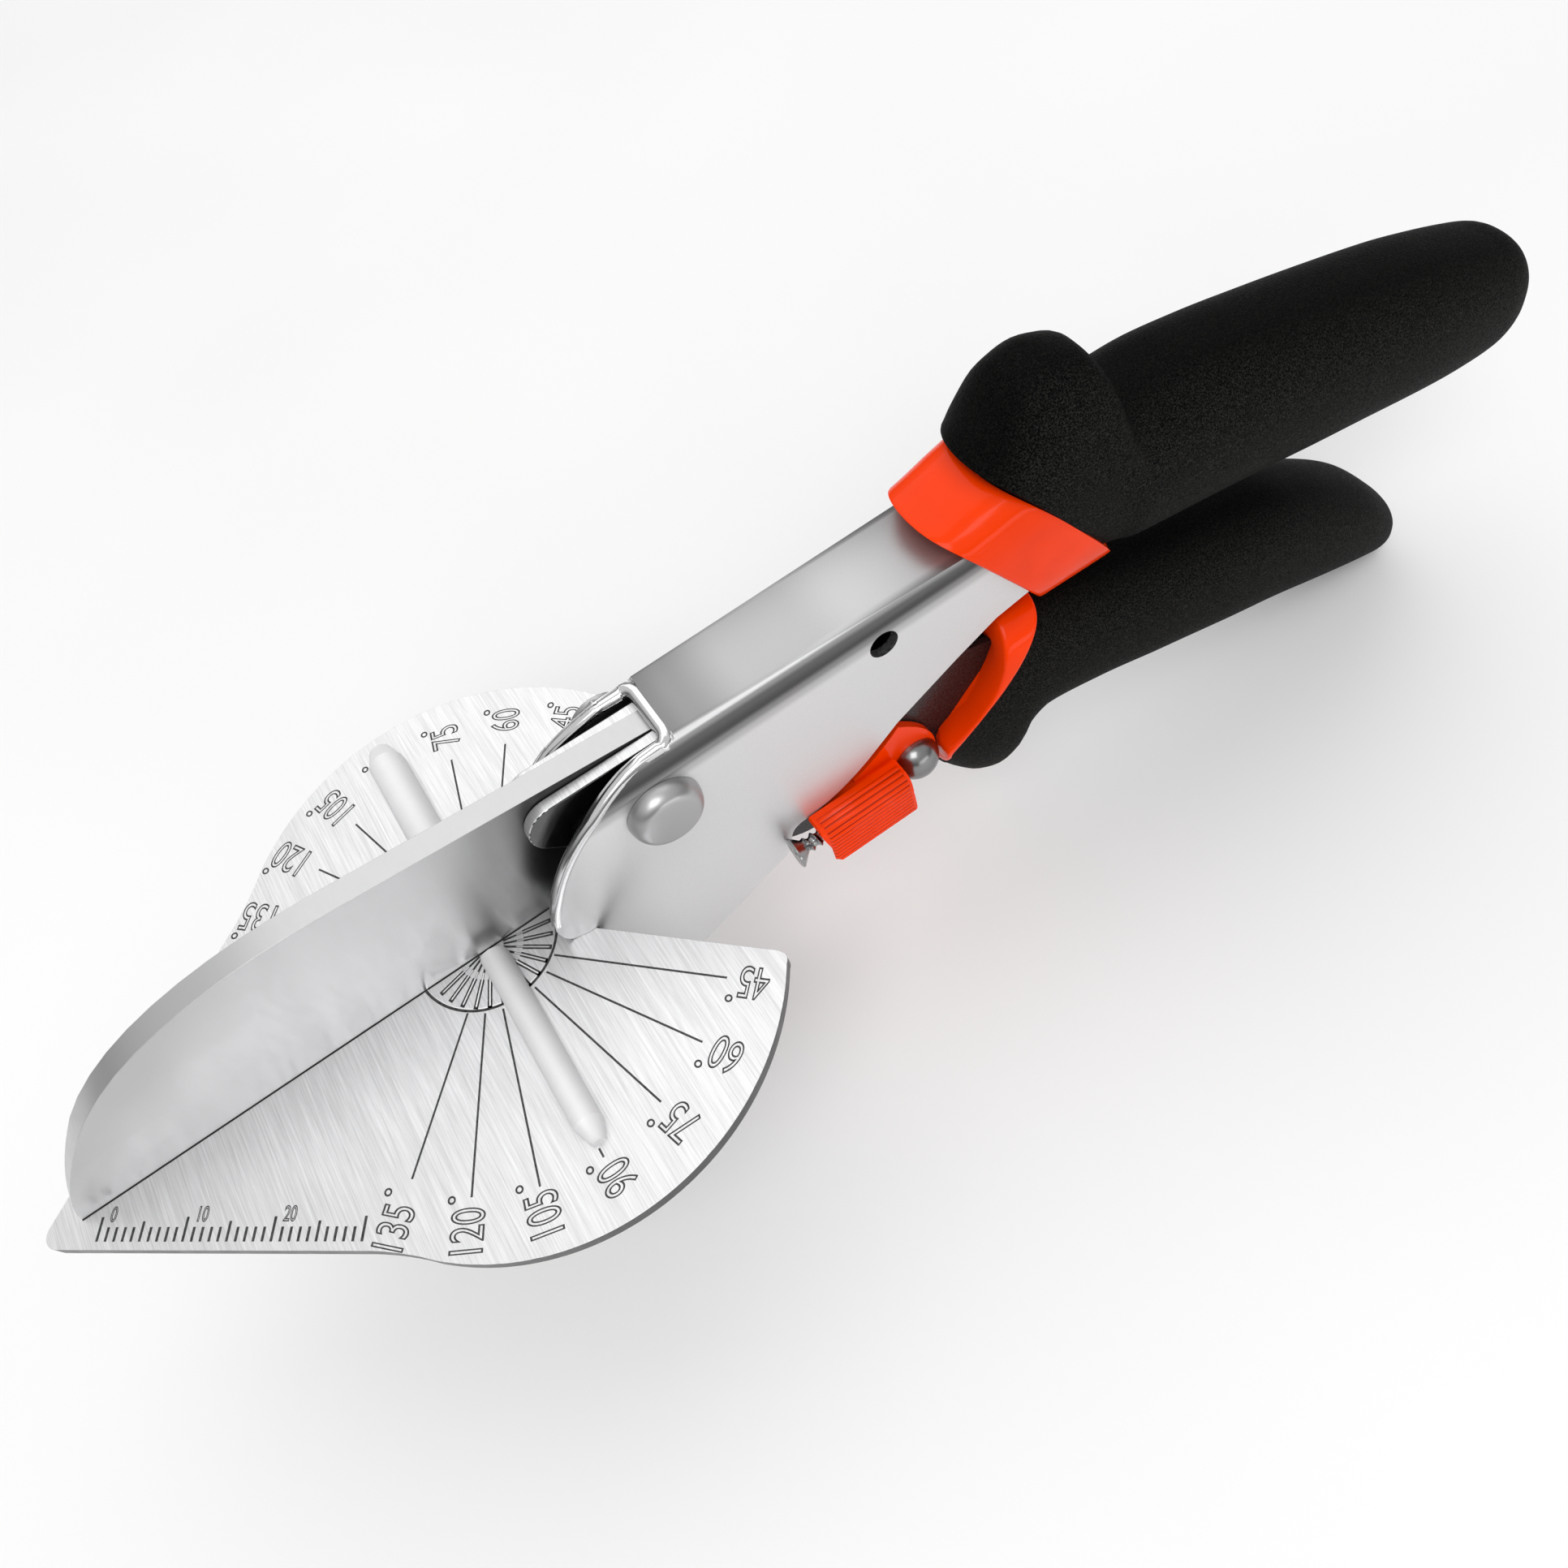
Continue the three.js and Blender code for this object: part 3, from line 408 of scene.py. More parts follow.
def mesh_from(name, points, faces):
    """A mesh whose doubled points are merged and whose faces look outwards."""
    mesh = bpy.data.meshes.new(name)
    mesh.from_pydata([tuple(p) for p in points], [], faces)
    build = bmesh.new()
    build.from_mesh(mesh)
    bmesh.ops.remove_doubles(build, verts=build.verts, dist=MERGE)
    bmesh.ops.dissolve_degenerate(build, edges=build.edges, dist=SLIVER)
    bmesh.ops.recalc_face_normals(build, faces=build.faces)
    build.to_mesh(mesh)
    build.free()
    return mesh


def softened(node, width):
    """A copy of a CAD node whose edges are rounded to the width, in mm."""
    mesh = frame["nodes"][node].data.copy()
    mesh.materials.clear()
    build = bmesh.new()
    build.from_mesh(mesh)
    bmesh.ops.remove_doubles(build, verts=build.verts, dist=MERGE)
    bmesh.ops.dissolve_limit(build, angle_limit=math.radians(FLAT_ANGLE), verts=build.verts,
                             edges=build.edges)
    build.to_mesh(mesh)
    build.free()
    obj = piece(f"{node}_finish", mesh, node)
    bevel = obj.modifiers.new("edges", "BEVEL")
    bevel.width = width * MM
    bevel.segments = EDGE_SEGMENTS
    bevel.limit_method = "ANGLE"
    bevel.angle_limit = math.radians(SHARP_ANGLE)
    bevel.use_clamp_overlap = True
    bevel.harden_normals = True
    smooth(mesh)


def tube_faces(rings, around):
    """Faces between neighbouring rings that each have the same number of points round them."""
    faces = []
    for ring in range(rings - 1):
        for k in range(around):
            following = (k + 1) % around
            a, b = ring * around, (ring + 1) * around
            faces.append((a + k, a + following, b + following, b + k))
    return faces


def end_faces(rings, around):
    """The two flat ends of such a tube."""
    return [tuple(range(around)), tuple(range((rings - 1) * around, rings * around))]


def eased(rows, column, x):
    """Monotone cubic reading of a column of a table whose first column is x."""
    if x <= rows[0][0]:
        return rows[0][column]
    if x >= rows[-1][0]:
        return rows[-1][column]
    k = next(i for i in range(1, len(rows)) if rows[i][0] >= x)

    def slope(i):
        """The straight slope from row i to the next."""
        return (rows[i + 1][column] - rows[i][column]) / (rows[i + 1][0] - rows[i][0])

    def tangent(i):
        """The curve's slope at row i, which is level where the rows turn back."""
        if i == 0 or i == len(rows) - 1:
            return slope(min(i, len(rows) - 2))
        before, after = slope(i - 1), slope(i)
        return 0.0 if before * after <= 0 else 2 * before * after / (before + after)

    x0, x1 = rows[k - 1][0], rows[k][0]
    width = x1 - x0
    t = (x - x0) / width
    a, b = rows[k - 1][column], rows[k][column]
    m, n = tangent(k - 1) * width, tangent(k) * width
    return (a * (1 + 2 * t) * (1 - t) ** 2 + m * t * (1 - t) ** 2
            + b * t * t * (3 - 2 * t) + n * t * t * (t - 1))


# How a sleeve's open end is drawn: rings from the core out to the rim, then a small curl.
AROUND = 96
RINGS_PER_MM = 1.1
FEWEST_RINGS = 10
HALVINGS = 40
END_SHARES = (1.0, 0.5, 0.12)
END_TUCK = 1.2
CURL_TURNS = (0.25, 0.6)
CURL_INSET = 0.06
# The rounded tip of a closed end: the size of each ring, and how far it stands out.
TIP_RINGS = ((0.9, 0.1), (0.6, 0.25), (0.3, 0.3))
MOULDING_SHARP = 50


def moulding(name, node, rows, squareness, front, core, back=None, lip=0.5):
    """A moulded sleeve. Rows are [x, bottom, top, half width]; front and back give x for a (y, z).

    Core is (half width, bottom, top) of what the sleeve grips, where its open ends turn inwards."""
    first = rows[0][0]
    last = rows[-1][0]

    def section(x, angle, scale=1.0):
        """A point of the sleeve's outline at x, as (y, z)."""
        low, high, half = (eased(rows, column, x) for column in (1, 2, 3))
        c, s = math.cos(angle), math.sin(angle)
        y = half * math.copysign(abs(c) ** squareness, c)
        z = (high - low) / 2 * math.copysign(abs(s) ** squareness, s)
        return y * scale, (low + high) / 2 + z * scale

    def meets(angle, surface):
        """The x where the sleeve meets a front or back surface, at an angle round it."""
        low, high = first, last
        for _ in range(HALVINGS):
            x = (low + high) / 2
            if x < surface(*section(x, angle)):
                low = x
            else:
                high = x
        return high

    def inward(y, z, share):
        """A point moved a share of the way to the core."""
        half, bottom, top = core
        inner_y = max(-half, min(half, y))
        inner_z = max(bottom, min(top, z))
        return y + (inner_y - y) * share, z + (inner_z - z) * share

    def curled(x, reach, angle):
        """The small curl of an open end at x, which reaches along the sleeve."""
        curl = []
        for turn in CURL_TURNS:
            y, z = section(x + reach * turn, angle)
            y, z = inward(y, z, CURL_INSET * (1 - turn) ** 2)
            curl.append(at(x + reach * turn * turn, y, z))
        return curl

    steps = max(FEWEST_RINGS, int((last - first) * RINGS_PER_MM))
    columns = []
    for i in range(AROUND):
        angle = 2 * math.pi * i / AROUND
        start = meets(angle, front)
        end = max(start, meets(angle, back) if back else last)
        curl = min(lip, (end - start) / 3)
        column = []
        rim_y, rim_z = section(start, angle)
        for share in END_SHARES:
            y, z = inward(rim_y, rim_z, share)
            column.append(at(front(y, z) if share < 1 else front(y, z) + END_TUCK, y, z))
        column += curled(start, curl, angle)
        for k in range(steps + 1):
            x = start + curl + (end - start - curl * (2 if back else 1)) * k / steps
            column.append(at(x, *section(x, angle)))
        if back:
            column += curled(end, -curl, angle)[::-1]
            rim_y, rim_z = section(end, angle)
            column += [at(end, *inward(rim_y, rim_z, share)) for share in END_SHARES[::-1]]
        else:
            column += [at(last + out, *section(last, angle, scale)) for scale, out in TIP_RINGS]
        columns.append(column)
    deep = len(columns[0])
    points = [point for column in columns for point in column]
    faces = []
    for i in range(AROUND):
        j = (i + 1) % AROUND
        for k in range(deep - 1):
            faces.append((i * deep + k, j * deep + k, j * deep + k + 1, i * deep + k + 1))
    if not back:
        faces.append(tuple(i * deep + deep - 1 for i in range(AROUND)))
    mesh = mesh_from(name, points, faces)
    smooth(mesh, MOULDING_SHARP)
    piece(name, mesh, node)


# ---------------------------------------------------------------- grips and collars
# Rows are (x, bottom, top, half width) along each sleeve, in mm from the vertex.
UPPER_GRIP_ROWS = [
    (63, 6.4, 25.4, 7.6), (67, 6.2, 25.9, 7.9), (70.2, 6.0, 28.0, 8.0), (73, 5.8, 32.1, 8.2),
    (75.8, 5.6, 34.8, 8.3), (79, 5.3, 35.4, 8.4), (82.5, 4.8, 34.2, 8.4), (84.3, 4.5, 32.9, 8.5),
    (85.3, 4.4, 30.8, 8.6), (86.2, 4.2, 27.2, 8.7), (87.2, 4.0, 25.8, 8.8), (90, 3.5, 25.3, 8.9),
    (94, 2.8, 25.1, 9.0), (103, 1.2, 23.4, 9.1), (113, -0.9, 20.8, 9.1), (123, -2.9, 18.0, 9.0),
    (133, -5.0, 15.0, 8.8), (140, -6.2, 12.5, 8.4), (145.6, -6.7, 10.3, 7.8),
    (148.8, -6.4, 8.9, 6.9), (150.5, -5.4, 7.5, 5.7), (151.4, -3.8, 5.4, 3.8),
]
LOWER_GRIP_ROWS = [
    (57, -14.0, -3.0, 6.6), (58.5, -17.5, 0.0, 7.0), (60.5, -21.2, 2.0, 7.4),
    (63.5, -25.2, 3.6, 7.8), (66.5, -26.8, 4.4, 8.1), (69, -25.2, 4.6, 8.3),
    (71, -20.6, 4.4, 8.4), (74, -18.4, 3.6, 8.6), (82, -19.8, 1.2, 8.8),
    (92, -22.8, -2.2, 9.0), (103, -26.4, -5.6, 9.0), (113, -29.7, -8.9, 8.8),
    (120, -32.4, -12.6, 8.5), (126.5, -35.0, -17.0, 8.0), (132, -37.2, -21.6, 7.3),
    (136, -38.8, -26.2, 6.4), (138.6, -39.2, -30.0, 5.1), (139.4, -38.3, -32.6, 3.4),
]
UPPER_COLLAR_ROWS = [
    (58, 5.6, 23.0, 7.2), (64, 5.4, 23.8, 7.5), (70, 5.4, 25.2, 7.9), (76, 5.4, 26.4, 8.2),
    (88, 5.4, 27.2, 8.5),
]
LOWER_COLLAR_ROWS = [
    (54, -13.0, -2.0, 7.2), (58, -14.4, 0.2, 7.8), (62, -15.0, 2.6, 8.2), (68, -16.2, 5.0, 8.7),
    (72, -17.0, 5.2, 8.8), (78, -18.0, 3.4, 8.6),
]
UPPER_CORE = (5.5, 8.3, 19.6)
LOWER_CORE = (3.7, -11.8, 0.4)
GRIP_SQUARENESS = 0.86
UPPER_COLLAR_SQUARENESS = 0.56
LOWER_COLLAR_SQUARENESS = 0.62


def leaning(x, z, slope, sweep):
    """A front that leans back going down and sweeps back to both sides."""
    return lambda py, pz: x + sweep * py * py - slope * (pz - z)


upper_seam = leaning(70.4, 25.4, 0.65, 0.025)
upper_rim = leaning(62.0, 23.4, 0.64, 0.025)
lower_lean = leaning(69.2, 0.0, -1.05, 0.004)
LOWER_CHIN_X = 58.5

# The lower collar's mouth, as (x, z): its corner under the straight lean, the bend, and the chin.
COLLAR_MOUTH_LEAN = 4.3 / 11
COLLAR_MOUTH_CORNER = (67.2, 1)
COLLAR_MOUTH_BEND = (65.2, -5.2)
COLLAR_MOUTH_CHIN = (57.9, -9.4)


def lower_seam(y, z):
    """The lower grip's front, which leans forward going down and stops at an upright chin."""
    return max(LOWER_CHIN_X, lower_lean(y, z))


def lower_mouth(y, z):
    """The D-shaped mouth: a straight lean above, rounding forward to an upright chin."""
    corner_x, corner_z = COLLAR_MOUTH_CORNER
    bend_x, bend_z = COLLAR_MOUTH_BEND
    chin_x, chin_z = COLLAR_MOUTH_CHIN
    if z >= corner_z:
        return corner_x + (z - corner_z) * COLLAR_MOUTH_LEAN
    if z <= chin_z:
        return chin_x
    fall = 2 * (corner_z - bend_z)
    turn = corner_z - 2 * bend_z + chin_z
    t = (fall - math.sqrt(fall * fall - 4 * turn * (corner_z - z))) / (2 * turn)
    return (1 - t) ** 2 * corner_x + 2 * t * (1 - t) * bend_x + t * t * chin_x


moulding("upper_grip_skin", "upper_grip", UPPER_GRIP_ROWS, GRIP_SQUARENESS, upper_seam, UPPER_CORE)
moulding("lower_grip_skin", "lower_grip", LOWER_GRIP_ROWS, GRIP_SQUARENESS, lower_seam, LOWER_CORE)
moulding("upper_collar_skin", "upper_collar", UPPER_COLLAR_ROWS, UPPER_COLLAR_SQUARENESS,
         upper_rim, UPPER_CORE, back=upper_seam, lip=0.8)
moulding("lower_collar_skin", "lower_collar", LOWER_COLLAR_ROWS, LOWER_COLLAR_SQUARENESS,
         lower_mouth, LOWER_CORE, back=lower_seam, lip=0.6)

# ---------------------------------------------------------------- metal parts with eased edges
EDGE_WIDTHS = {
    "upper_lever": 0.22, "lower_lever": 0.2, "anvil_plate": 0.25, "blade": 0.06,
    "blade_cheek_near": 0.25, "blade_cheek_far": 0.25, "fence_near": 0.2, "fence_far": 0.2,
    "pivot_nut": 0.2, "latch": 0.25, "anvil_rib": 0.3,
}
for node, width in EDGE_WIDTHS.items():
    softened(node, width)


def face_material(name, material, chosen):
    """Gives the faces of a piece that are chosen a material of their own."""
    mesh = bpy.data.objects[name].data
    mesh.materials.append(material)
    number = len(mesh.materials) - 1
    for face in mesh.polygons:
        if chosen(face):
            face.material_index = number


FRONT_EDGE_END = at(MOUTH_X + 0.4, 0, 0).x
HOLE = at(FLANGE_HOLE_X, 0, FLANGE_HOLE_Z)
HOLE_REACH = 2 * MM


def on_front_edge(face):
    """Whether a face of the upper lever is on its cut front edge."""
    return face.center.x < FRONT_EDGE_END and abs(face.normal.y) < 0.5 and face.normal.x < 0.2


def on_hole_wall(face):
    """Whether a face of the upper lever is on the wall of the hole in a flange."""
    return (face.center.xz - HOLE.xz).length < HOLE_REACH and abs(face.normal.y) < 0.5


face_material("upper_lever_finish", CUT_EDGE, on_front_edge)
# Painted shade: the wall of the flange hole gets the dark mark steel.
face_material("upper_lever_finish", MARK_AND_PAINTED_SHADE, on_hole_wall)
# The plate's side faces get painted shade.
face_material("anvil_plate_finish", PLATE_SIDE_PAINTED_SHADE, lambda face: abs(face.normal.z) < 0.5)
# The cheeks' side faces get painted shade.
for side in ("near", "far"):
    face_material(f"blade_cheek_{side}_finish", CHEEK_SIDE_PAINTED_SHADE, lambda face: abs(face.normal.y) > 0.7)


# ---------------------------------------------------------------- pivot bolt and latch rivet
TURNED_AROUND = 48
DOME_STEPS = 10
ROUND_SHARP = 40


def turned(name, node, centre, rows, material=None):
    """A piece turned about an axis along y through a centre, from (radius, y) rows."""
    angles = [2 * math.pi * k / TURNED_AROUND for k in range(TURNED_AROUND)]
    points = [at(centre.x + radius * math.cos(a), y, centre.z + radius * math.sin(a))
              for radius, y in rows for a in angles]
    mesh = mesh_from(name, points, tube_faces(len(rows), TURNED_AROUND))
    if material:
        mesh.materials.append(material)
    smooth(mesh, ROUND_SHARP)
    piece(name, mesh, node)


def dome(edge, flat, rise, start):
    """Rows of a rounded head, from its edge up to its flat or pointed top."""
    turns = [math.pi / 2 * i / DOME_STEPS for i in range(DOME_STEPS + 1)]
    return [(flat + (edge - flat) * math.cos(t), start + rise * math.sin(t)) for t in turns]


def pivot_bolt():
    """The bolt through both levers: a low domed head on the near side and a bevelled end."""
    seat = FLANGE_HALF + 0.05
    head_r, head_top_r, head_rise = 4.4, 2.9, 2.2
    shank_r, end_r, end_y = 3.0, 2.8, seat + 4.1
    top = [(0.0, -seat - head_rise - 0.1), (1.8, -seat - head_rise - 0.07)]
    head = dome(head_r, head_top_r, -head_rise, -seat)[::-1]
    shank = [(shank_r, -seat), (shank_r, seat - 0.3), (end_r, seat - 0.1)]
    end = [(end_r, end_y - 0.5), (end_r - 0.5, end_y), (0.0, end_y)]
    turned("pivot_bolt_finish", "pivot_bolt", PIVOT, top + head + shank + end)


def latch_rivet():
    """The rivet that the latch turns on, with a full dome on each side."""
    ear, head_r, head_rise, shank_r = 5.35, 3.0, 2.7, 1.25
    head = dome(head_r, 0.0, head_rise, ear)
    near_head = [(radius, -y) for radius, y in head[::-1]]
    turned("latch_rivet_finish", "latch_rivet", LATCH_PIVOT,
           near_head + [(shank_r, -ear), (shank_r, ear)] + head, RIVET_STEEL)


pivot_bolt()
latch_rivet()

# ---------------------------------------------------------------- rolled edge of the upper lever
RIM_R = 0.72
RIM_SWELL = 0.24
RIM_SWELL_X = 26
RIM_SWELL_LENGTH = 2.5
RIM_AROUND = 12
RIM_STEPS = 28
RIM_INSET = 0.5
RIM_ANGLES = (101, 167)
# A direction that the rim never runs along, from which its rings are turned.
RIM_OFFSIDE = Vector((1, 0, 0.3))
# How wide the flanges' front edge stands at x, and the heights over which the bend widens it.
EDGE_ROWS = [(7, 4.9), (10.4, FLANGE_HALF), (40, FLANGE_HALF)]
BEND_TOP = 20.0
BEND_HEIGHT = 2.7
# The rounded corner from the web into the flange, as (distance ahead of the mouth, inset, height).
RIM_CORNER = [(0.45, 2.0, 20.3), (0.6, 1.3, 20.28), (0.95, 0.85, 20.22), (1.4, 0.65, 20.1),
              (2, SHEET / 2, 20.0)]


def clamped(value):
    """A value kept between 0 and 1."""
    return max(0.0, min(1.0, value))


def rim_path():
    """The middle line of the rolled edge, from the middle of the web down the far flange."""
    path = [Vector((MOUTH_X - ahead, MOUTH_HALF - inset, z)) for ahead, inset, z in RIM_CORNER]
    first, last = RIM_ANGLES
    for k in range(RIM_STEPS + 1):
        angle = math.radians(first + (last - first) * k / RIM_STEPS)
        x = FRONT_ARC_X + (FRONT_ARC_R - RIM_INSET) * math.cos(angle)
        z = FRONT_ARC_Z + (FRONT_ARC_R - RIM_INSET) * math.sin(angle)
        bend_half = MOUTH_HALF + (FLANGE_HALF - MOUTH_HALF) * clamped((BEND_TOP - z) / BEND_HEIGHT)
        half = min(bend_half, eased(EDGE_ROWS, 1, x))
        path.append(Vector((x, half - SHEET / 2, z)))
    return path


def mouth_rim():
    """The rolled, polished edge that runs round the mouth and down both flanges."""
    half_path = rim_path()
    path = [Vector((p.x, -p.y, p.z)) for p in half_path][::-1] + half_path
    points = []
    for i, place in enumerate(path):
        ahead = path[min(i + 1, len(path) - 1)]
        behind = path[max(i - 1, 0)]
        along = (ahead - behind).normalized()
        one = along.cross(RIM_OFFSIDE).normalized()
        two = along.cross(one)
        thick = RIM_R + RIM_SWELL * clamped((place.x - RIM_SWELL_X) / RIM_SWELL_LENGTH)
        for k in range(RIM_AROUND):
            angle = 2 * math.pi * k / RIM_AROUND
            point = place + (one * math.cos(angle) + two * math.sin(angle)) * thick
            points.append(at(*point))
    faces = tube_faces(len(path), RIM_AROUND) + end_faces(len(path), RIM_AROUND)
    mesh = mesh_from("mouth_rim", points, faces)
    mesh.materials.append(CUT_EDGE)
    smooth(mesh, MOULDING_SHARP)
    piece("mouth_rim", mesh, None, body="upper_handle", slot="lever_steel")


mouth_rim()

# The CAD's own meshes get the looks too, because the nodes that no piece replaces stay visible.
for node, obj in frame["nodes"].items():
    obj.data.materials.clear()
    obj.data.materials.append(LOOKS[SLOT_OF[node]])
    smooth(obj.data)


# ---------------------------------------------------------------- engraved angle scale and ruler
SURFACE = 0.012
FIGURE_HEIGHT = 3.7
FIGURE_SQUEEZE = 0.68
FIGURE_RELIEF = 0.4
CAPITAL_SHARE = 0.72
FIGURE_LINE = 0.11
LINE_WIDTH = 0.24
LINE_START = 8.0
NEAR_FIGURES_R = 31.5
FAR_FIGURES_R = 31.0
# The small degree ring after the figures: its outer and inner radius.
DEGREE_RING = (0.45, 0.24)


def engraved(name, mesh, material):
    """A mark in the plate's top face."""
    mesh.materials.clear()
    mesh.materials.append(material)
    piece(name, mesh, None, body="upper_handle", slot="plate_steel")


def strips(name, lines, width, material=MARK_AND_PAINTED_SHADE, height=SURFACE):
    """Thin inlays along straight lines, each given by the (x, y) of its two ends in mm."""
    points, faces = [], []
    for (x0, y0), (x1, y1) in lines:
        along = Vector((x1 - x0, y1 - y0)).normalized()
        side = Vector((-along.y, along.x)) * width / 2
        first = len(points)
        for x, y, s in ((x0, y0, 1), (x0, y0, -1), (x1, y1, -1), (x1, y1, 1)):
            points.append(at(x + side.x * s, y + side.y * s, height))
        faces.append((first, first + 1, first + 2, first + 3))
    engraved(name, mesh_from(name, points, faces), material)


def polar(radius, angle):
    """A place on the plate at a radius and an angle in degrees from the vertex."""
    return radius * math.cos(math.radians(angle)), radius * math.sin(math.radians(angle))


def figures(name, text, place, heading, height, line=FIGURE_LINE):
    """Figures engraved in outline, centred on their place and reading along the heading."""
    curve = bpy.data.curves.new(name, "FONT")
    curve.body = text
    curve.size = height * MM / CAPITAL_SHARE
    curve.align_x = "CENTER"
    curve.align_y = "CENTER"
    curve.fill_mode = "NONE"
    curve.bevel_depth = line * MM
    curve.bevel_resolution = 1
    curve.resolution_u = 6
    obj = bpy.data.objects.new(name, curve)
    bpy.context.scene.collection.objects.link(obj)
    bpy.context.view_layer.update()
    mesh = bpy.data.meshes.new_from_object(obj.evaluated_get(
        bpy.context.evaluated_depsgraph_get()))
    bpy.data.objects.remove(obj)
    turn = Matrix.Rotation(math.radians(heading), 4, "Z")
    flatten = Matrix.Diagonal((FIGURE_SQUEEZE, 1, FIGURE_RELIEF, 1))
    mesh.transform(Matrix.Translation(at(*place, 0)) @ turn @ flatten)
    engraved(name, mesh, MARK_AND_PAINTED_SHADE)


def ring(name, centres, outer, inner, material=MARK_AND_PAINTED_SHADE, height=SURFACE, arc=(0, 360), around=20):
    """Flat rings, or parts of rings, let into the plate round centres given in mm."""
    points, faces = [], []
    for cx, cy in centres:
        first = len(points)
        for i in range(around + 1):
            angle = math.radians(arc[0] + (arc[1] - arc[0]) * i / around)
            for radius in (outer, inner):
                points.append(at(cx + radius * math.cos(angle), cy + radius * math.sin(angle),
                                 height))
        for i in range(around):
            k = first + 2 * i
            faces.append((k, k + 1, k + 3, k + 2))
    engraved(name, mesh_from(name, points, faces), material)


LABELS = range(45, 136, 15)


def line_end(side, label):
    """How far out the line of an angle runs, which differs a little from line to line."""
    if side > 0:
        return 28.2 - label / 75
    return {120: 27.9, 135: 26.3}.get(label, 28.5)


def angle_scale():
    """A line, figures and a degree ring for each angle, on both sides of the cutting line."""
    lines = []
    for side in (-1, 1):
        for label in LABELS:
            if label != 90:
                angle = side * label
                lines.append((polar(LINE_START, angle), polar(line_end(side, label), angle)))
    # The fence covers the line at 90 degrees, apart from a stub at its end.
    lines.append((polar(27.8, -90.8), polar(28.9, -90.8)))
    strips("angle_lines", lines, LINE_WIDTH)

    rings = []
    for label in LABELS:
        text = str(label)
        figures(f"angle_near_{label}", text, polar(NEAR_FIGURES_R, -label), 180 - label,
                FIGURE_HEIGHT)
        figures(f"angle_far_{label}", text, polar(FAR_FIGURES_R, label), label, FIGURE_HEIGHT)
        rings.append(polar(31.7 - 1.2 * len(text), -label - 4.4))
        rings.append(polar(31.3 + 0.7 * len(text), label + 4.9))
    ring("degree_marks", rings, *DEGREE_RING)


# The stamped fan round the vertex: an arc, and strokes that widen outwards, with a bright core.
FAN_SHIFT = 1.2
FAN_R = 8.6
FAN_LINE = 0.16
FAN_SWEEP = (26, 171)
FAN_ANGLES = (12, 25, 38, 51, 64, 77, 103, 116, 129, 142, 155, 167)
# Each part of a stroke, as (name, start radius, end radius, width).
FAN_PARTS = (("root", 1.6, 4.0, 0.26), ("end", 4.0, 7.5, 0.56))
FAN_CORE = (3.2, 7.2)


def stamped_fan(side, name):
    """One half of the fan, on the near side (-1) or the far side (1)."""
    centre = [(-0.1, -side * FAN_SHIFT)]
    sweep = tuple(side * angle for angle in FAN_SWEEP)
    ring(f"fan_arc_{name}", centre, FAN_R + FAN_LINE, FAN_R - FAN_LINE, arc=sweep, around=40)
    ring(f"fan_rim_{name}", centre, FAN_R - FAN_LINE, FAN_R - 2 * FAN_LINE, material=CUT_EDGE,
         arc=sweep, around=40)

    def strokes(start, end):
        """The lines of every stroke between two radii."""
        return [(polar(start, side * angle), polar(end, side * angle)) for angle in FAN_ANGLES]

    for part, start, end, width in FAN_PARTS:
        strips(f"fan_{part}_{name}", strokes(start, end), width)
    strips(f"fan_core_{name}", strokes(*FAN_CORE), FAN_LINE, material=CUT_EDGE,
           height=SURFACE * 2)


# The ruler of 30 divisions along the near front edge: the feet of its first and last marks.
RULER_START = Vector((-51.23, -3.37))
RULER_END = Vector((-25.75, -21.18))
RULER_STEPS = 30
RULER_LINE = 0.31
RULER_FIGURE_HEIGHT = 1.6


def tick_length(step):
    """Every tenth mark is the longest, and every fifth is longer than the rest."""
    if step % 10 == 0:
        return 2.55
    if step % 5 == 0:
        return 2.1
    return 1.5


def ruler():
    """The marks of the ruler, with figures at its tens."""
    along = (RULER_END - RULER_START).normalized()
    across = Vector((-along.y, along.x))
    heading = math.degrees(math.atan2(along.y, along.x))
    feet = [RULER_START.lerp(RULER_END, step / RULER_STEPS) for step in range(RULER_STEPS + 1)]
    ticks = [(tuple(foot), tuple(foot + across * tick_length(step)))
             for step, foot in enumerate(feet)]
    strips("ruler_ticks", ticks, RULER_LINE)
    for step in (0, 10, 20):
        beside = 1.25 if step == 0 else 1.6
        middle = feet[step] + along * beside + across * 2.75
        figures(f"ruler_{step}", str(step), tuple(middle), heading, RULER_FIGURE_HEIGHT, line=0.07)


angle_scale()
stamped_fan(-1, "near")
stamped_fan(1, "far")
ruler()

# ---------------------------------------------------------------- latch ridges and the threaded screw
RIDGES = 12
RIDGE_STEPS = 8
RIDGE_PROUD = 0.24
RIDGE_LIFT = 0.04
RIDGE_SINK = 0.1
RIDGE_FADE = 0.3
RIDGE_SHARP = 60
# The pad's section that carries the ridges: over its shoulder and down its side, as (y, z).
PAD_SECTION = [(6.9, -6.08), (8.3, -6.12), (9.02, -6.62), (9.36, -7.5), (9.4, -8.4), (9.4, -13.4)]
# Where the pads start and end, and the heights under which their lower corners are cut back.
PAD_FRONT_X = 39.3
PAD_REAR_X = 51.3
FRONT_CORNER_Z = -12.6
REAR_CORNER_Z = -12.9
CORNER_CUT = 0.9


def pad_place(share):
    """The place and outward direction at a share of the way down the pad's section."""
    runs = [(Vector(a), Vector(b)) for a, b in zip(PAD_SECTION, PAD_SECTION[1:])]
    left = share * sum((b - a).length for a, b in runs)
    for a, b in runs:
        if left <= (b - a).length or (a, b) == runs[-1]:
            along = (b - a).normalized()
            return a + along * left, Vector((-along.y, along.x))
        left -= (b - a).length


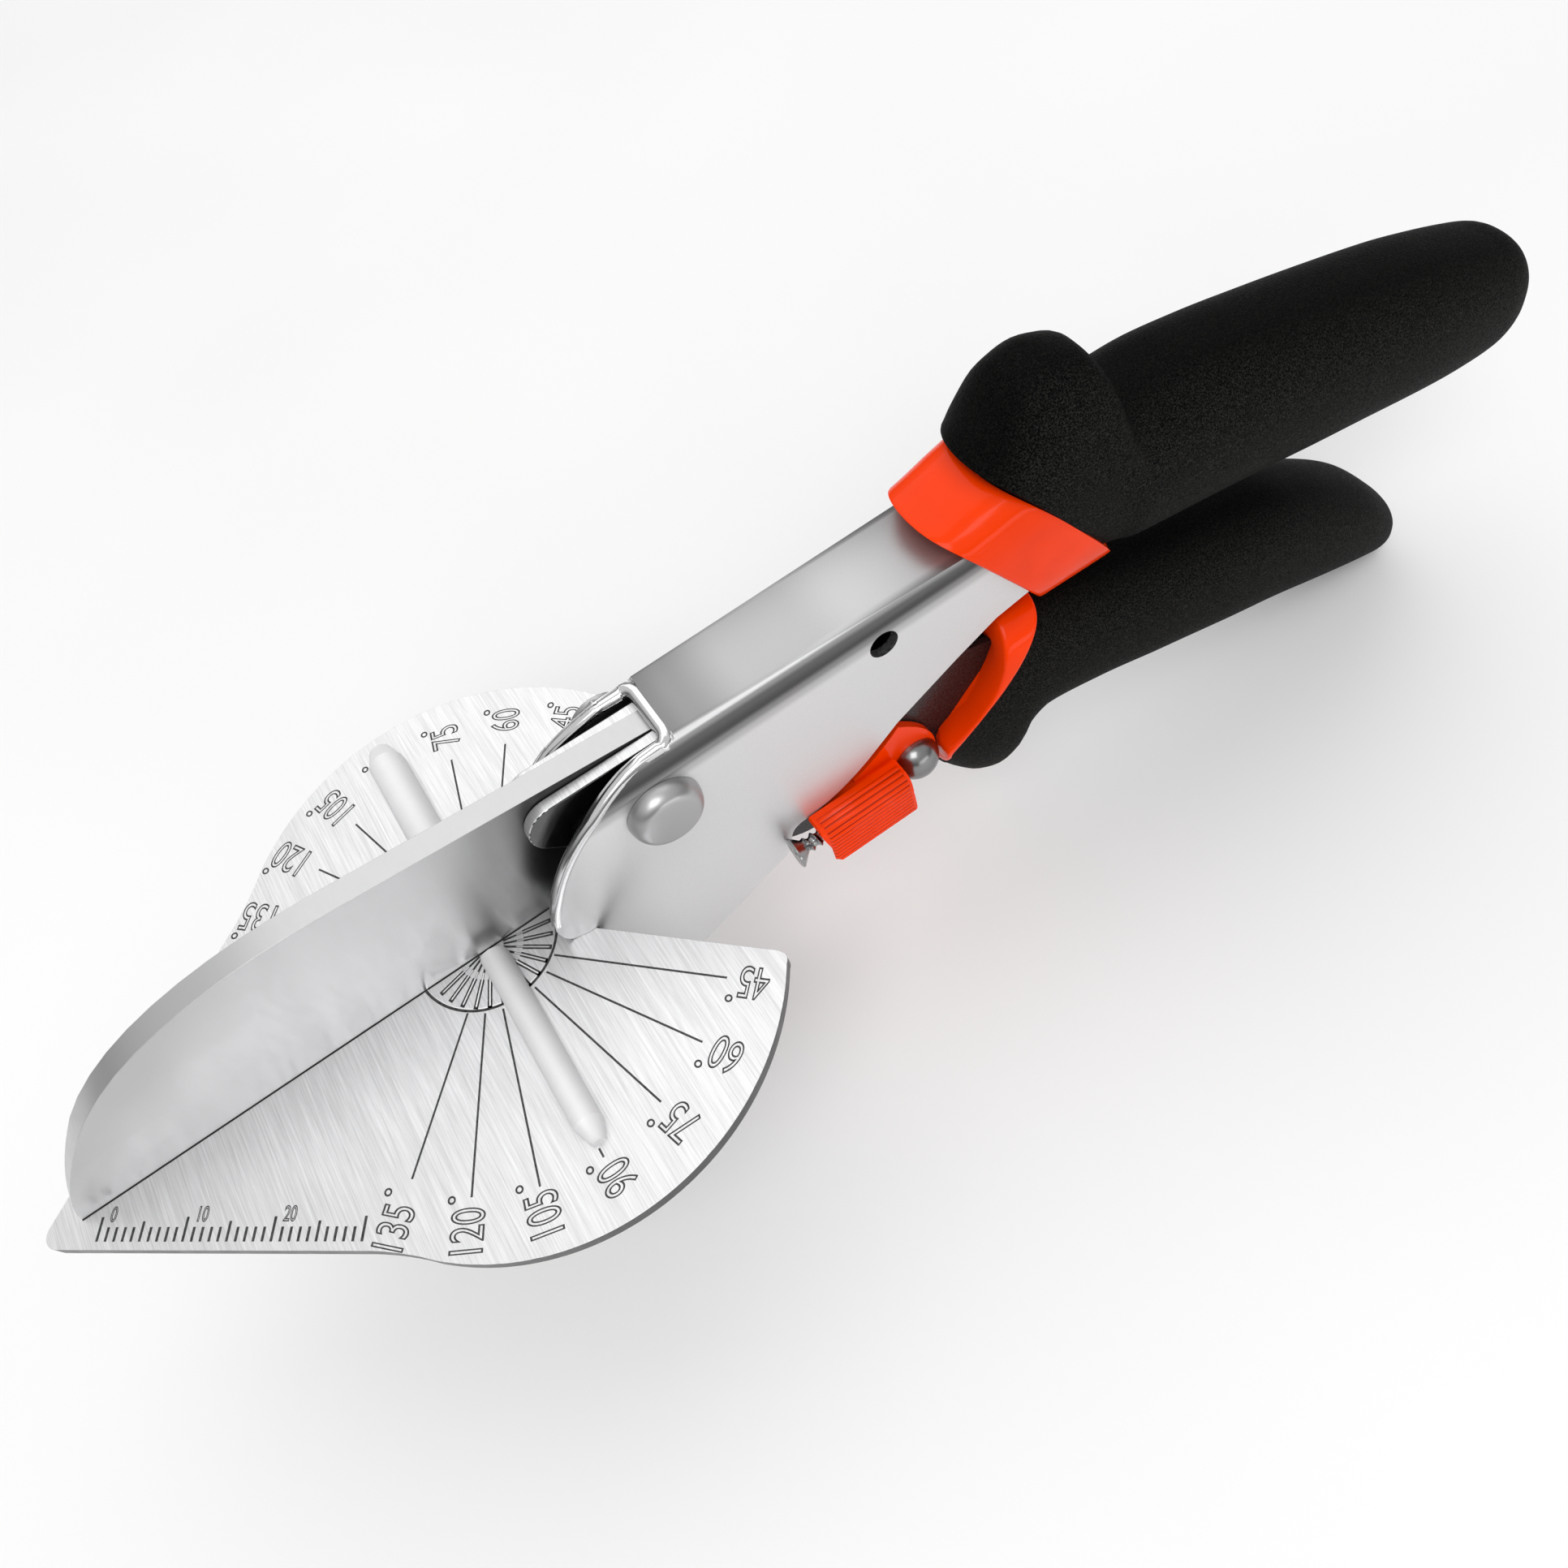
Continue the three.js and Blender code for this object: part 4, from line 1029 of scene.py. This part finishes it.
def latch_ridges():
    """Fine ridges along both thumb pads, fading out at their ends, with painted shade at their feet."""
    points, faces = [], []
    rows = RIDGES * RIDGE_STEPS
    for side in (-1, 1):
        first = len(points)
        for i in range(rows + 1):
            (y, z), out = pad_place(i / rows)
            proud = RIDGE_LIFT + RIDGE_PROUD * abs(math.sin(math.pi * i / RIDGE_STEPS))
            front = PAD_FRONT_X + max(0.0, FRONT_CORNER_Z - z) * CORNER_CUT
            rear = PAD_REAR_X - max(0.0, REAR_CORNER_Z - z) * CORNER_CUT
            for x, lift in ((front, -RIDGE_SINK), (front + RIDGE_FADE, proud),
                            (rear - RIDGE_FADE, proud), (rear, -RIDGE_SINK)):
                points.append(at(x, side * (y + out.x * lift), z + out.y * lift))
        for i in range(rows):
            for k in range(3):
                a = first + i * 4 + k
                faces.append((a, a + 1, a + 5, a + 4))
    mesh = mesh_from("latch_ridges", points, faces)
    mesh.materials.append(LOOKS["orange_plastic"])
    mesh.materials.append(RIDGE_GROOVE_PAINTED_SHADE)
    # The faces at the foot of each ridge take the darker orange as painted shade in the grooves.
    for number, face in enumerate(mesh.polygons):
        face.material_index = 1 if number // 3 % RIDGE_STEPS in (0, RIDGE_STEPS - 1) else 0
    smooth(mesh, RIDGE_SHARP)
    piece("latch_ridges", mesh, None, body="latch_body", slot="orange_plastic")


# The screw lies along x from its head. Head rows are (x, radius): a dished face and the countersink.
SCREW_PLACE = (35.1, -7.95, -8.0)
SCREW_HEAD = [(0.0, 0.35), (0.12, 0.4), (0.0, 1.86), (0.06, 2.0), (0.3, 2.0), (1.35, 1.0)]
SCREW_AROUND = 32
THREAD_START = 1.7
THREAD_END = 13.0
THREAD_PITCH = 1.1
THREAD_ROOT_R = 0.72
THREAD_DEPTH = 0.4
THREAD_STEEPNESS = 3.2
STEPS_PER_TURN = 12


def thread_radius(x, turn):
    """The radius of the rolled thread at x along the screw and a share of a turn round it."""
    phase = (x / THREAD_PITCH - turn) % 1
    return THREAD_ROOT_R + THREAD_DEPTH * max(0.0, 1 - abs(phase - 0.5) * THREAD_STEEPNESS)


def threaded_screw():
    """The catch screw: a countersunk head and a rolled thread."""
    length = THREAD_END - THREAD_START
    count = int(length / THREAD_PITCH * STEPS_PER_TURN)
    turns = [i / SCREW_AROUND for i in range(SCREW_AROUND)]
    rings = [(x, [radius] * SCREW_AROUND) for x, radius in SCREW_HEAD]
    for i in range(count + 1):
        x = THREAD_START + length * i / count
        rings.append((x, [thread_radius(x, turn) for turn in turns]))
    x0, y0, z0 = SCREW_PLACE
    points = []
    for x, radii in rings:
        for turn, radius in zip(turns, radii):
            angle = 2 * math.pi * turn
            points.append(at(x0 + x, y0 + radius * math.cos(angle), z0 + radius * math.sin(angle)))
    faces = tube_faces(len(rings), SCREW_AROUND) + end_faces(len(rings), SCREW_AROUND)
    mesh = mesh_from("latch_screw_thread", points, faces)
    mesh.materials.append(SCREW_STEEL)
    smooth(mesh, ROUND_SHARP)
    piece("latch_screw_thread", mesh, "latch_screw")


latch_ridges()
threaded_screw()


# ---------------------------------------------------------------- floor, light and camera
def floor():
    """A pale paper floor, just under the object."""
    low, _ = CAD_BOUNDS
    bpy.ops.mesh.primitive_plane_add(size=4, location=(0, 0, low.z - 0.2 * MM))
    plane = bpy.context.object
    plane.name = "studio_floor"
    look = Look("floor_paper", (0.9, 0.9, 0.9), roughness=0.9, specular=0.1)
    tone = look.noise((6, 6, 6), detail=2)
    look.tint(look.span(tone, 0, 1), (0.88, 0.88, 0.88), (0.92, 0.92, 0.92))
    plane.data.materials.append(look.material)


def area_light(name, place, target, size, power):
    """A rectangular soft light that looks at a target."""
    data = bpy.data.lights.new(name, "AREA")
    data.shape = "RECTANGLE"
    data.size, data.size_y = size
    data.energy = power
    obj = bpy.data.objects.new(name, data)
    bpy.context.scene.collection.objects.link(obj)
    obj.location = place
    obj.rotation_mode = "QUATERNION"
    obj.rotation_quaternion = (Vector(target) - Vector(place)).to_track_quat("-Z", "Y")


floor()
area_light("key_softbox", (-0.25, -0.4, 0.75), (0, 0, 0), (0.45, 0.45), 2.4)
area_light("top_softbox", (0.2, 0.5, 0.85), (0, 0, 0), (1.2, 1.0), 3.0)
area_light("front_strip", (0.15, -0.6, 0.08), (0.02, 0, 0), (0.5, 0.12), 0.5)


def studio_world():
    """A white tent: bright overhead and darker towards the horizon, so that bent metal has contrast."""
    world = bpy.data.worlds.new("studio")
    world.use_nodes = True
    tree = world.node_tree
    coordinates = tree.nodes.new("ShaderNodeTexCoord")
    parts = tree.nodes.new("ShaderNodeSeparateXYZ")
    rise = tree.nodes.new("ShaderNodeMapRange")
    rise.interpolation_type = "SMOOTHSTEP"
    rise.inputs["From Min"].default_value = 0.02
    rise.inputs["From Max"].default_value = 0.6
    rise.inputs["To Min"].default_value = 0.12
    rise.inputs["To Max"].default_value = 0.75
    tree.links.new(coordinates.outputs["Generated"], parts.inputs["Vector"])
    tree.links.new(parts.outputs["Z"], rise.inputs["Value"])
    background = tree.nodes["Background"]
    background.inputs["Color"].default_value = (1, 1, 1, 1)
    tree.links.new(rise.outputs["Result"], background.inputs["Strength"])
    bpy.context.scene.world = world


studio_world()
bpy.context.scene.view_settings.view_transform = "Standard"

# The camera: its place in mm from the vertex, the angles in degrees that it looks from, and its lens.
CAMERA_PLACE = (19.08, -80.63, 125.65)
CAMERA_AZIMUTH = -13.934
CAMERA_ELEVATION = 57.82
CAMERA_ROLL = -22.078
CAMERA_LENS = 29.37


def add_camera():
    """The camera, above the near side and rolled so that the handles rise to the right."""
    data = bpy.data.cameras.new("camera")
    data.lens = CAMERA_LENS
    data.sensor_width = 36
    data.clip_start = 0.01
    data.clip_end = 10
    camera = bpy.data.objects.new("camera", data)
    bpy.context.scene.collection.objects.link(camera)
    camera.matrix_world = (Matrix.Translation(at(*CAMERA_PLACE))
                           @ Matrix.Rotation(math.radians(CAMERA_AZIMUTH), 4, "Z")
                           @ Matrix.Rotation(math.radians(90 - CAMERA_ELEVATION), 4, "X")
                           @ Matrix.Rotation(math.radians(CAMERA_ROLL), 4, "Z"))
    bpy.context.scene.camera = camera


add_camera()
